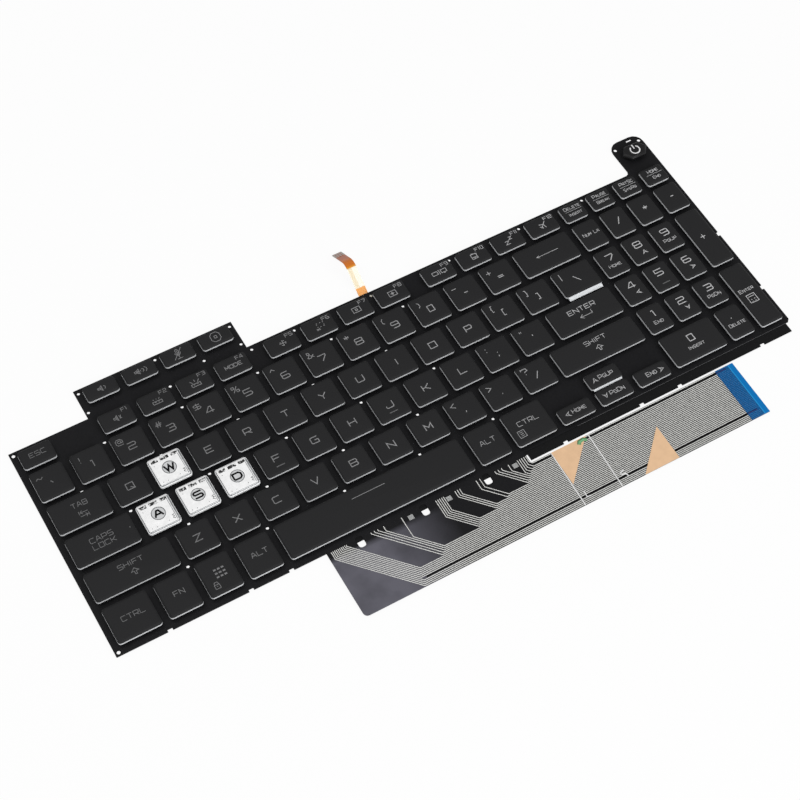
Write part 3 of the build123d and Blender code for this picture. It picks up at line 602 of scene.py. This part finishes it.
bpy.ops.mesh.inset(thickness=CAP_WALL)
bpy.ops.mesh.extrude_region_move(TRANSFORM_OT_translate={"value": (0, 0, CAP_ROOM)})
bpy.ops.mesh.select_all(action="SELECT")
bpy.ops.mesh.normals_make_consistent(inside=False)
bpy.ops.object.mode_set(mode="OBJECT")
bpy.ops.object.shade_smooth_by_angle(angle=math.radians(35))

dark_skin = finish("dark_skin", tone(38, 38, 39), 0.6, 5000, 0.000012, 0.1, Specular_IOR_Level=0.12)
pale_shell = finish("pale_shell", tone(226, 228, 230), 0.4, 2500, 0.000006, 0.04)
# Home bars: a lighter grey than the skin, a painted highlight where the small bars catch the light.
bar_highlight_skin = finish("bar_highlight_skin", tone(88, 88, 89), 0.45, 3000, 0.000006, 0.15)
cap_blank.data.materials.append(dark_skin)
cap_blank.data.materials.append(pale_shell)
for face in cap_blank.data.polygons:
    skin = face.center.z > SKIRT_Z and face.normal.z > 0.1
    face.material_index = 0 if skin else 1


def cap_for(name):
    """One cap stretched from the blank to its key, so that corners and walls keep their size."""
    cx, cy, width, depth = key_places[name]
    obj = copy_of(cap_blank, name)
    for vert in obj.data.vertices:
        vert.co.x += math.copysign(1, vert.co.x) * (width - CAP_W) / 2 + cx
        vert.co.y += math.copysign(1, vert.co.y) * (depth - CAP_D) / 2 + cy
    return obj


BAR_EDGE = 0.0001
HOME_HALF = 0.002
HOME_FRONT = 0.0029
HOME_BACK = 0.0034
HOME_RISE = 0.0002
LIP_SIDE = 0.0009
LIP_ROOT = 0.0004
LIP_TOP = CAP_Z + 0.0004
STEP_LOW = CAP_Z + 0.0003
STEP_TOP = CAP_Z + 0.0007


def finished_cap(name):
    """A cap with the home bar or front lip that some keys carry."""
    cx, cy, width, depth = key_places[name]
    parts = [cap_for(name)]
    front = cy - depth / 2
    if name in ("f", "j", "pad_5"):
        # The home bar's lighter grey is a painted highlight.
        low = (cx - HOME_HALF, front + HOME_FRONT, CAP_TOP_Z - HOME_RISE)
        high = (cx + HOME_HALF, front + HOME_BACK, CAP_TOP_Z + HOME_RISE)
        parts.append(bar("home_bar", low, high, BAR_EDGE, bar_highlight_skin))
    lip = {"backslash": 0.0017, "up_arrow": 0.00065}.get(name)
    if lip:
        side = width / 2 - LIP_SIDE
        low = (cx - side, front - lip, CAP_Z)
        high = (cx + side, front + LIP_ROOT, LIP_TOP)
        parts.append(bar("front_lip", low, high, BAR_EDGE, pale_shell))
        low = (cx - side, front - 0.6 * lip, STEP_LOW)
        high = (cx + side, front + LIP_ROOT, STEP_TOP)
        parts.append(bar("front_step", low, high, BAR_EDGE, pale_shell))
    return join(parts, name)


for name in single_keys:
    if name in clear_keys:
        continue
    cap = finished_cap(name)
    cap.name = f"{name}_cap"
    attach(cap, f"{name}_key")
    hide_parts(f"{name}_key")
for group, names in key_groups.items():
    caps = join([finished_cap(name) for name in names.split()], group.replace("keys", "caps"))
    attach(caps, "module")
    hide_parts(group)

# Clear keycaps: the same moulding in clear polycarbonate with no skin, clipped on the scissor links. Here
# they are opaque, and what shows through the real ones is drawn on them: white linkage, dark gaps along
# the back that are the black membrane with painted shadow of the links over it, the dome's foot as a grey
# disc, and fine lines along the front wall.

clear_wall = finish("clear_wall", tone(244, 245, 246), 0.2, 2500, 0.000006, 0.03)
inner_edge = finish("inner_edge", tone(92, 94, 96), 0.3, 2500, 0.000006, 0.25)
white_below = finish("white_below", tone(246, 246, 246), 0.25, 420, 0.000004, 0.06)
side_gap = finish("side_gap", tone(138, 140, 142), 0.3, 900, 0.000004, 0.6)
dome_foot = finish("dome_foot", tone(206, 207, 208), 0.3, 400, 0.000004, 0.08)
# Dark specks along the back of a clear cap: the black membrane between the links, with painted shadow of
# the links.
shadowed_gaps = finish("shadowed_gaps", tone(70, 72, 74), 0.3, 1000, 0.000004)
shadowed_ramp = shadowed_gaps.node_tree.nodes["Color Ramp"].color_ramp
for element, share, shade in zip(shadowed_ramp.elements, (0.52, 0.58), (34, 222)):
    element.position = share
    element.color = tone(shade, shade, shade)
hatched_wall = finish("hatched_wall", tone(214, 216, 218), 0.25, 2500, 0.000006)
hatch_nodes = hatched_wall.node_tree.nodes
hatch_links = hatched_wall.node_tree.links
hatch = hatch_nodes.new("ShaderNodeTexWave")
hatch.bands_direction = "Y"
hatch.inputs["Scale"].default_value = 760
hatch.inputs["Distortion"].default_value = 1.5
hatch_links.new(hatch_nodes["Texture Coordinate"].outputs["Object"], hatch.inputs["Vector"])
hatch_ramp = hatch_nodes["Color Ramp"].color_ramp
hatch_ramp.elements[0].color = tone(128, 130, 132)
hatch_ramp.elements[1].color = tone(244, 245, 246)
hatch_links.new(hatch.outputs["Fac"], hatch_nodes["Color Ramp"].inputs["Fac"])
LINE_LOW = SKIRT_Z + 0.00025
LINE_HIGH = SKIRT_Z + 0.00052
GAP_FRONT = 0.002
GAP_BACK = 0.0004
POST_IN = 0.0019
POST_OUT = 0.003
SIDE_WIDE = 0.0008
DISC_R = 0.0031
DISC_THICK = 0.00002
DISC_RIM = 0.00028
DISC_STEP = 0.00006
DISC_DISH = 0.000004
WALL, HATCHED, EDGE, WHITE, SHADOWED, SIDE = range(6)


def clear_field(u, v, z, half_x, half_y, normal):
    """Which finish a clear cap shows at a point: wall, hatched wall, inner edge, white, gaps in painted
    shadow, or side.
    """
    if z < LINE_LOW or normal.z < 0.1:
        return WALL
    if z < LINE_HIGH:
        return WHITE if normal.y > 0.3 else EDGE
    if normal.z < 0.99:
        return HATCHED if normal.y < -0.3 else SIDE if normal.x > 0.3 else WHITE
    if half_y - GAP_FRONT < v < half_y - GAP_BACK:
        return WHITE if POST_IN < abs(u) < POST_OUT else SHADOWED
    return SIDE if u > half_x - SIDE_WIDE else WHITE


for name in clear_keys:
    cx, cy, width, depth = key_places[name]
    half_x, half_y = width / 2 - CAP_SLOPE, depth / 2 - CAP_SLOPE
    cap = cap_for(name)
    pick(cap)
    bpy.ops.object.mode_set(mode="EDIT")
    mark(cap, "faces", lambda f: f.normal.z > 0.1)
    bpy.ops.mesh.bisect(plane_co=(0, 0, LINE_LOW), plane_no=(0, 0, 1))
    mark(cap, "faces", lambda f: f.normal.z > 0.1)
    bpy.ops.mesh.bisect(plane_co=(0, 0, LINE_HIGH), plane_no=(0, 0, 1))
    for v in (half_y - GAP_FRONT, half_y - GAP_BACK):
        mark(cap, "faces", lambda f: f.normal.z > 0.99)
        bpy.ops.mesh.bisect(plane_co=(0, cy + v, 0), plane_no=(0, 1, 0))
    for u in (-POST_OUT, -POST_IN, POST_IN, POST_OUT, half_x - SIDE_WIDE):
        mark(cap, "faces", lambda f: f.normal.z > 0.99)
        bpy.ops.mesh.bisect(plane_co=(cx + u, 0, 0), plane_no=(1, 0, 0))
    bpy.ops.object.mode_set(mode="OBJECT")
    cap.data.materials.clear()
    for material in (clear_wall, hatched_wall, inner_edge, white_below, shadowed_gaps, side_gap):
        cap.data.materials.append(material)
    for face in cap.data.polygons:
        u, v = face.center.x - cx, face.center.y - cy
        face.material_index = clear_field(u, v, face.center.z, half_x, half_y, face.normal)
    cap.name = f"{name}_cap"
    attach(cap, f"{name}_key")
    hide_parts(f"{name}_key")
    bpy.ops.object.select_all(action="DESELECT")
    place = (cx, cy, CAP_TOP_Z)
    bpy.ops.mesh.primitive_cylinder_add(vertices=32, radius=DISC_R, depth=DISC_THICK, location=place)
    disc = bpy.context.object
    disc.name = f"{name}_disc"
    bpy.ops.object.transform_apply(location=True, rotation=False, scale=False)
    bpy.ops.object.mode_set(mode="EDIT")
    mark(disc, "faces", lambda f: f.normal.z > 0.9)
    bpy.ops.mesh.inset(thickness=DISC_RIM)
    bpy.ops.mesh.inset(thickness=DISC_STEP, depth=-DISC_DISH)
    bpy.ops.object.mode_set(mode="OBJECT")
    disc.data.materials.append(inner_edge)
    disc.data.materials.append(dome_foot)
    for face in disc.data.polygons:
        face.material_index = 1 if len(face.vertices) > 4 and face.normal.z > 0.9 else 0
    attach(disc, f"{name}_key")
    glimpse = new_print(f"{name}_glimpse")
    hook = [(1.0, 3.4), (1.9, 3.1), (1.2, 2.4), (2.0, 1.9), (1.1, 1.2)]
    ink_line(glimpse, [(cx + half_x - u / 1000, cy - half_y + v / 1000) for u, v in hook], 0.00026)
    for u, v in ((1.2, 1.0), (3.4, 0.9), (1.0, 9.6), (9.0, 1.3)):
        x, y = cx - half_x + u / 1000, cy - half_y + v / 1000
        ink_line(glimpse, [(x, y), (x + 0.0003, y + 0.0002)], 0.0003)
    lay_print(glimpse, CAP_TOP_Z, inner_edge, f"{name}_key")
bpy.data.objects.remove(cap_blank)

# Power key: a black hexagonal cap moulded on its own and clipped over the tab at the back right, with its
# edges softened and a white mark printed on its top.

bpy.ops.object.select_all(action="DESELECT")
power_cap = copy_of(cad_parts["power_key"], "power_cap")
for key in list(power_cap.keys()):
    del power_cap[key]
power_cap.parent = None
pick(power_cap)
bpy.ops.object.mode_set(mode="EDIT")
bpy.ops.mesh.select_all(action="SELECT")
bpy.ops.mesh.remove_doubles(threshold=0.000001)
bpy.ops.mesh.dissolve_limited(angle_limit=math.radians(2))
near_top = CAP_TOP_Z - 0.00001
POWER_EDGE = 0.0003
mark(power_cap, "edges", lambda e: e.calc_length() > 0.002 and max(v.co.z for v in e.verts) > near_top)
bpy.ops.mesh.bevel(offset=POWER_EDGE, segments=3, affect="EDGES")
bpy.ops.object.mode_set(mode="OBJECT")
bpy.ops.object.shade_smooth_by_angle(angle=math.radians(35))
power_cap.data.materials.clear()
power_black = finish("power_black", tone(24, 24, 25), 0.45, 5000, 0.000004, Specular_IOR_Level=0.25)
power_cap.data.materials.append(power_black)
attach(power_cap, "power_key")
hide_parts("power_key")
power_print = new_print("power_print")
turns = [math.radians(128 + 284 * i / 24) for i in range(25)]
RING_R = 0.00225
RING_LINE = 0.0007
ring = [(power_x + RING_R * math.cos(a), power_y + RING_R * math.sin(a)) for a in turns]
ink_line(power_print, ring, RING_LINE)
ink_line(power_print, [(power_x, power_y + 0.0005), (power_x, power_y + 0.003)], RING_LINE)
print_white = finish("print_white", tone(244, 244, 244), 0.5, 3000, 0.000003, 0.03)
lay_print(power_print, CAP_TOP_Z, print_white, "power_key")

# Key print: laser-cut legends that let the pale shell show through the skin, and black ink on the clear
# caps. Letters are drawn with single strokes on a square grid of eight, wide and flat-cornered.

strokes = {
    "A": "00 38 58 80/13 73", "B": "00 08 78 87 85 74 04/74 83 81 70 00", "C": "88 18 07 01 10 80",
    "D": "00 08 68 86 82 60 00", "E": "88 08 00 80/04 74", "F": "88 08 00/04 74",
    "G": "88 18 07 01 10 80 84 44", "H": "00 08/80 88/04 84", "I": "40 48", "J": "88 81 70 10 01 03",
    "K": "00 08/88 34 04/34 80", "L": "08 00 80", "M": "00 08 43 88 80", "N": "00 08 80 88",
    "O": "00 08 88 80 00", "P": "00 08 78 87 84 73 03", "Q": "00 08 88 80 00/43 80",
    "R": "00 08 78 87 84 73 03/43 80", "S": "88 18 07 05 14 74 83 81 70 00", "T": "08 88/48 40",
    "U": "08 01 10 70 81 88", "V": "08 40 88", "W": "08 20 47 60 88", "X": "00 88/08 80",
    "Y": "08 44 88/44 40", "Z": "08 88 00 80", "0": "10 18 78 70 10", "1": "28 48 40",
    "2": "08 78 87 85 74 14 03 00 80", "3": "08 78 87 85 74 24/74 83 81 70 00", "4": "60 68 48 02 82",
    "5": "88 08 04 74 83 81 70 00", "6": "78 18 07 01 10 70 81 83 74 04", "7": "08 88 86 30",
    "8": "14 05 07 18 78 87 85 74 14 03 01 10 70 81 83 74", "9": "10 70 81 87 78 18 07 05 14 84",
    "~": "03 25 35 53 63 85", "`": "36 53", "!": "48 43/41 40",
    "@": "80 20 02 06 28 68 86 83 63 66 36 25 33 63", "#": "20 38/50 68/03 73/15 85",
    "$": "87 17 06 05 14 74 83 82 71 01/49 40", "%": "05 08 38 35 05/50 53 83 80 50/10 78",
    "^": "15 48 75", "&": "80 16 18 38 46 12 01 10 40 84", "*": "48 42/16 74/14 76", "(": "58 36 32 50",
    ")": "38 56 52 30", "_": "14 74", "-": "24 64", "+": "14 74/41 47", "=": "13 73/15 75",
    "{": "68 48 45 34 43 40 60", "}": "28 48 45 54 43 40 20", "[": "68 38 30 60", "]": "28 58 50 20",
    "|": "48 40", "\\": "18 70", "/": "10 78", ":": "46 45/42 41", ";": "46 45/42 30",
    '"': "37 35/57 55", "'": "47 45", "<": "77 14 71", ">": "17 74 11", ",": "42 30", ".": "42 41",
    "?": "06 08 78 85 44 43/41 40",
}
narrow = {"I": (3, 5), "1": (2, 4), ".": (3, 5)}
GRID = 8
SMALL_CAPS = 0.78
LETTER_GAP = 0.3
icons = {
    "tab": "04 08/16 86/38 16 34/80 84/02 72/54 72 50", "shift": "30 50 54 84 48 04 34 30",
    "enter": "88 83 03/26 03 20", "back": "84 04/16 04 12", "line": "04 84", "dot": "34 54",
    "menu": "00 08 88 80 00/26 66/24 64/22 62", "lock": "00 05 85 80 00/15 17 28 68 77 75/33 53",
    "grid": "01 21/31 51/61 81/04 24/34 54/64 84/07 27/37 57/67 87",
    "mute": "03 23 41 47 25 05 03/24 43/24 45/66 82/62 86",
    "glow_low": "00 03 83 80 00/22 32/52 62/45 46/25 16/65 76",
    "glow_high": "00 03 83 80 00/22 32/52 62/45 48/24 07/64 87",
    "fan": "44 47 66/44 74 62/44 41 22/44 14 26",
    "snip": "28 38/58 68/88 87/85 84/27 26/24 23/43 53/73 83/00 32/02 30",
    "dim": "01 07 87 81 01/33 35 55 53 33", "bright": "01 07 87 81 01/24 64/42 46/33 55/35 53",
    "screens": "02 06 36 32 02/41 47/52 56 86 82 52/61 71",
    "pad_off": "11 17 77 71 11/13 73/43 41/28 86", "sleep": "04 44 00 40/58 88 55 85",
    "plane": "11 88/06 55/60 55/03 22/30 22",
    "quiet": "03 23 41 47 25 05 03/24 43/24 45/15 13/62 73 75 66",
    "loud": "03 13 31 37 15 05 03/14 33/14 35/14 34/43 45/52 63 65 56/71 83 85 77",
    "mic": "37 34 43 54 57 48 37/47 44/25 24 42 64 65/42 40/20 60/00 88",
    "ring": "20 60 82 86 68 28 06 02 20/33 53 55 35 33", "left": "04 88 54 80 04",
    "right": "84 08 34 00 84", "up": "48 80 43 00 48", "down": "40 88 45 08 40",
    "sums": "00 08 88 80 00/16 76/23 33/53 63/21 31/51 61",
}


def draw(obj, path, x, y, wide, tall, weight):
    """Draw strokes of the eight by eight grid in a box whose front left corner is x, y."""
    for stroke in path.split("/"):
        spots = [(int(p[0]), int(p[1])) for p in stroke.split()]
        if spots:
            ink_line(obj, [(x + u * wide / GRID, y + v * tall / GRID) for u, v in spots], weight)


def write(obj, text, cx, cy, tall, wide, weight):
    """Write text, small capitals for small letters, or draw an icon with its middle at a point."""
    if text in icons:
        draw(obj, icons[text], cx - wide / 2, cy - tall / 2, wide, tall, weight)
        return
    sizes = [SMALL_CAPS if letter.islower() else 1 for letter in text]
    spans = [narrow.get(letter, (0, GRID)) if letter != " " else (0, 5) for letter in text.upper()]
    gap = LETTER_GAP * wide
    length = sum((b - a) * wide * size / GRID for (a, b), size in zip(spans, sizes))
    x = cx - (length + gap * (len(text) - 1)) / 2
    for letter, (a, b), size in zip(text.upper(), spans, sizes):
        left = x - a * wide * size / GRID
        draw(obj, strokes.get(letter, ""), left, cy - tall / 2, wide * size, tall * size, weight)
        x += (b - a) * wide * size / GRID + gap


# Each legend is its text or icon, its place from the key's middle, the height and width of one letter or
# of the icon, and the line weight, all in mm
legends = {}
for letter in "qertyuiopfghjklzxcvbnm":
    legends[letter] = [(letter.upper(), 0, -0.2, 3.0, 3.3, 0.5)]
for letter in clear_keys:
    legends[letter] = [(letter.upper(), 0, 0, 2.9, 4.3 if letter == "w" else 3.6, 0.8)]
digit_names = key_groups["digit_keys"].split()
for name, pair in zip(digit_names, "~` !1 @2 #3 $4 %5 ^6 &7 *8 (9 )0 _- +=".split()):
    legends[name] = [(pair[0], -4.1, 3.1, 2.9, 3.0, 0.4), (pair[1], 0.1, -0.6, 3.1, 3.5, 0.5)]
sign_names = "bracket_left bracket_right semicolon quote comma period slash".split()
for name, pair in zip(sign_names, "{[ }] :; \"' <, >. ?/".split()):
    legends[name] = [(pair[0], -4.1, 3.3, 3.2, 2.8, 0.4), (pair[1], 0.1, -0.3, 3.2, 2.8, 0.45)]
legends["backslash"] = [("|", -6.6, 3.2, 3.6, 2.8, 0.43), ("\\", 0, -0.4, 3.4, 3.2, 0.45)]
key_icons = "mute glow_low glow_high MODE fan snip dim bright screens pad_off sleep plane".split()
icon_wide = [3.4, 4.2, 4.2, 1.6, 3.8, 4.2, 3.8, 3.8, 7.0, 3.6, 4.0, 3.4]
for i, (icon, wide) in enumerate(zip(key_icons, icon_wide)):
    tall = 1.7 if icon == "MODE" else 3.5
    legends[f"f{i + 1}"] = [(f"F{i + 1}", 4.3, 2.5, 1.7, 1.5, 0.3), (icon, 0.2, -0.4, tall, wide, 0.38)]
legends["volume_down"] = [("quiet", 0.5, -0.2, 3.4, 3.9, 0.38)]
legends["volume_up"] = [("loud", 0.5, -0.2, 3.4, 5.6, 0.38)]
legends["microphone"] = [("mic", 0.2, 0, 5.2, 5.0, 0.35)]
legends["tool"] = [("ring", 0.2, 0, 4.8, 4.4, 0.38)]
legends["escape"] = [("ESC", 0.4, 0.3, 2.1, 2.0, 0.33)]
legends["tab"] = [("TAB", 0.8, 2.2, 2.2, 1.9, 0.33), ("tab", 0.8, -2.8, 3.4, 3.8, 0.33)]
legends["caps_lock"] = [
    ("CAPS", 0, 1.5, 2.2, 2.05, 0.33),
    ("LOCK", 0, -1.8, 2.2, 2.05, 0.33),
    ("dot", 12.2, 0, 1, 1.6, 0.5),
]
legends["left_shift"] = [("SHIFT", 0.6, 2.7, 2.1, 2.0, 0.33), ("shift", 0.8, -1.5, 2.9, 3.2, 0.33)]
legends["right_shift"] = [("SHIFT", 0.1, 2.8, 2.1, 2.0, 0.33), ("shift", 0, -1.4, 2.9, 3.2, 0.33)]
legends["left_ctrl"] = [("CTRL", 0.8, 0.5, 2.2, 2.05, 0.33)]
legends["right_ctrl"] = [("CTRL", 0, 1.0, 2.2, 2.05, 0.33), ("menu", -5.6, -3.7, 3.4, 3.2, 0.29)]
legends["fn"] = [("FN", 0.5, 0.3, 2.2, 2.0, 0.33)]
legends["system"] = [("grid", 0.8, 0.4, 4.6, 4.6, 0.95), ("lock", -3.0, -4.5, 3.0, 2.2, 0.33)]
legends["left_alt"] = [("ALT", 0.5, 0.4, 2.2, 2.05, 0.33)]
legends["right_alt"] = [("ALT", 0.1, 0.4, 2.2, 2.05, 0.33)]
legends["space"] = [("line", -1.4, 3.8, 1, 15.7, 0.33)]
legends["enter"] = [("ENTER", -0.5, 2.3, 2.2, 2.25, 0.4), ("enter", -0.3, -1.5, 2.8, 6.2, 0.29)]
legends["backspace"] = [("back", 0.3, 0.1, 2.4, 11.4, 0.29)]
legends["left_arrow"] = [("left", -4.6, -0.2, 2.0, 2.0, 0.33), ("Home", 1.2, 0.1, 2.0, 1.6, 0.33)]
legends["up_arrow"] = [("up", -4.6, -0.2, 2.0, 2.0, 0.33), ("PgUp", 1.2, 0.1, 2.0, 1.6, 0.33)]
legends["down_arrow"] = [("down", -4.6, -0.2, 2.0, 2.0, 0.33), ("PgDn", 1.2, 0.1, 2.0, 1.6, 0.33)]
legends["right_arrow"] = [("right", 4.6, -0.2, 2.0, 2.0, 0.33), ("End", -0.6, 0.1, 2.0, 1.6, 0.33)]
upper_words = "Delete Pause PrtSc Home".split()
lower_words = "Insert Break SysRq End".split()
for name, upper, lower in zip("delete pause print home".split(), upper_words, lower_words):
    legends[name] = [
        (upper, 0.3, 2.1, 1.7, 1.3, 0.27),
        ("line", 0.3, 0.3, 1, 8.4, 0.2),
        (lower, 0.3, -1.6, 1.5, 1.2, 0.25),
    ]
legends["pad_lock"] = [("Num Lk", 0.2, 0.2, 1.7, 1.3, 0.26)]
legends["pad_slash"] = [("/", 0.3, 0.2, 3.6, 2.8, 0.45)]
legends["pad_star"] = [("*", 0.2, 0.3, 2.8, 2.8, 0.4)]
legends["pad_minus"] = [("-", 0, 0.2, 3.0, 3.2, 0.43)]
legends["pad_plus"] = [("+", -0.8, 0.2, 3.4, 3.4, 0.43)]
pad_words = ["Home", "up", "PgUp", "End", "down", "PgDn", "left", "", "right", "Insert"]
for digit, word in zip("7891234560", pad_words):
    name = "pad_zero" if digit == "0" else f"pad_{digit}"
    size = (1.8, 1.9, 0.33) if word in icons else (1.7, 1.45, 0.26)
    legends[name] = [(digit, 0, 2.1, 3.2, 3.7, 0.5), (word, 1.0 if word in icons else 0, -2.5, *size)]
legends["pad_period"] = [(".", -0.7, 2.7, 3.0, 3.0, 0.5), ("Delete", 0, -1.7, 1.7, 1.3, 0.26)]
legends["pad_enter"] = [("Enter", -0.9, 2.8, 1.7, 1.4, 0.26), ("sums", -0.9, -2.3, 4.4, 4.2, 0.33)]

legend_grey = finish("legend_grey", tone(150, 151, 152), 0.6, 60, 0.000003, Specular_IOR_Level=0.2)
# The legends are painted lighter from left to right across the key field: a painted light gradient, where
# the light falls brighter on the right.
HALF_FIELD = 0.165
legend_light_ramp = [(0.0, tone(110, 110, 111)), (0.3, tone(132, 132, 133))]
legend_light_ramp += [(0.5, tone(150, 150, 151)), (1.0, tone(204, 204, 205))]
paint(legend_grey, bands(legend_grey, "X", -HALF_FIELD, HALF_FIELD, legend_light_ramp, "LINEAR"))
legend_black = finish("legend_black", tone(12, 12, 13), 0.6, 4000, 0.000003, 0.05, Specular_IOR_Level=0.1)
CLEAR_LIFT = 0.00003


def print_keys(title, names, body, material):
    """Print the legends of some keys and let them ride with their caps."""
    sheet = new_print(title)
    for name in names:
        cx, cy = key_places[name][:2]
        for text, dx, dy, tall, wide, weight in legends[name]:
            write(sheet, text, cx + dx / 1000, cy + dy / 1000, tall / 1000, wide / 1000, weight / 1000)
    lift = CLEAR_LIFT if material == legend_black else 0
    lay_print(sheet, CAP_TOP_Z + lift, material, body)


for name in single_keys:
    print_keys(f"{name}_print", [name], f"{name}_key", legend_black if name in clear_keys else legend_grey)
for group, names in key_groups.items():
    print_keys(group.replace("keys", "print"), names.split(), "module", legend_grey)

# Floor, light and camera: a white sweep under soft daylight from above and in front, seen from the front
# left, as in the photograph.

bpy.ops.object.select_all(action="DESELECT")
bpy.ops.mesh.primitive_plane_add(size=6, location=(0, 0, -0.0002))
floor = bpy.context.object
floor.name = "floor"
paper = bpy.data.materials.new("white_paper")
paper.use_nodes = True
nodes = paper.node_tree.nodes
links = paper.node_tree.links
nodes["Principled BSDF"].inputs["Base Color"].default_value = (0.85, 0.85, 0.85, 1)
nodes["Principled BSDF"].inputs["Roughness"].default_value = 0.9
glow = nodes.new("ShaderNodeEmission")
glow.inputs["Strength"].default_value = 1.0
path = nodes.new("ShaderNodeLightPath")
seen = nodes.new("ShaderNodeMath")
seen.operation = "MULTIPLY"
seen.inputs[1].default_value = 0.93
mix = nodes.new("ShaderNodeMixShader")
links.new(path.outputs["Is Camera Ray"], seen.inputs[0])
links.new(seen.outputs["Value"], mix.inputs["Fac"])
links.new(nodes["Principled BSDF"].outputs["BSDF"], mix.inputs[1])
links.new(glow.outputs["Emission"], mix.inputs[2])
links.new(mix.outputs["Shader"], nodes["Material Output"].inputs["Surface"])
floor.data.materials.append(paper)

world = bpy.data.worlds.new("studio")
bpy.context.scene.world = world
world.use_nodes = True
sky = world.node_tree.nodes["Background"]
sky.inputs["Color"].default_value = (1, 1, 1, 1)
path = world.node_tree.nodes.new("ShaderNodeLightPath")
level = world.node_tree.nodes.new("ShaderNodeMapRange")
level.inputs["To Min"].default_value = 0.4
level.inputs["To Max"].default_value = 1.0
world.node_tree.links.new(path.outputs["Is Camera Ray"], level.inputs["Value"])
world.node_tree.links.new(level.outputs["Result"], sky.inputs["Strength"])


def soft_box(name, place, aim, size, watts):
    """A square soft box that faces a point."""
    data = bpy.data.lights.new(name, "AREA")
    data.size = size
    data.energy = watts
    obj = bpy.data.objects.new(name, data)
    obj.location = place
    obj.rotation_euler = (Vector(aim) - Vector(place)).to_track_quat("-Z", "Y").to_euler()
    bpy.context.scene.collection.objects.link(obj)


soft_box("front_box", (0.3, -1.0, 0.8), (0, 0, 0), 0.9, 11)
soft_box("top_box", (-0.6, 0.3, 1.2), (0, 0, 0), 0.9, 5)

lens = bpy.data.cameras.new("camera")
lens.sensor_width = 36
lens.lens = 83.145
camera = bpy.data.objects.new("camera", lens)
right = Vector((0.86541, -0.49992, 0.03381)).normalized()
back = Vector((-0.28871, -0.44244, 0.84905)).normalized()
up = back.cross(right)
turn = Matrix((right, up, back)).transposed()
camera.matrix_world = Matrix.Translation((-0.23766, -0.35514, 0.67667)) @ turn.to_4x4()
bpy.context.scene.collection.objects.link(camera)
bpy.context.scene.camera = camera
bpy.context.scene.view_settings.view_transform = "Standard"
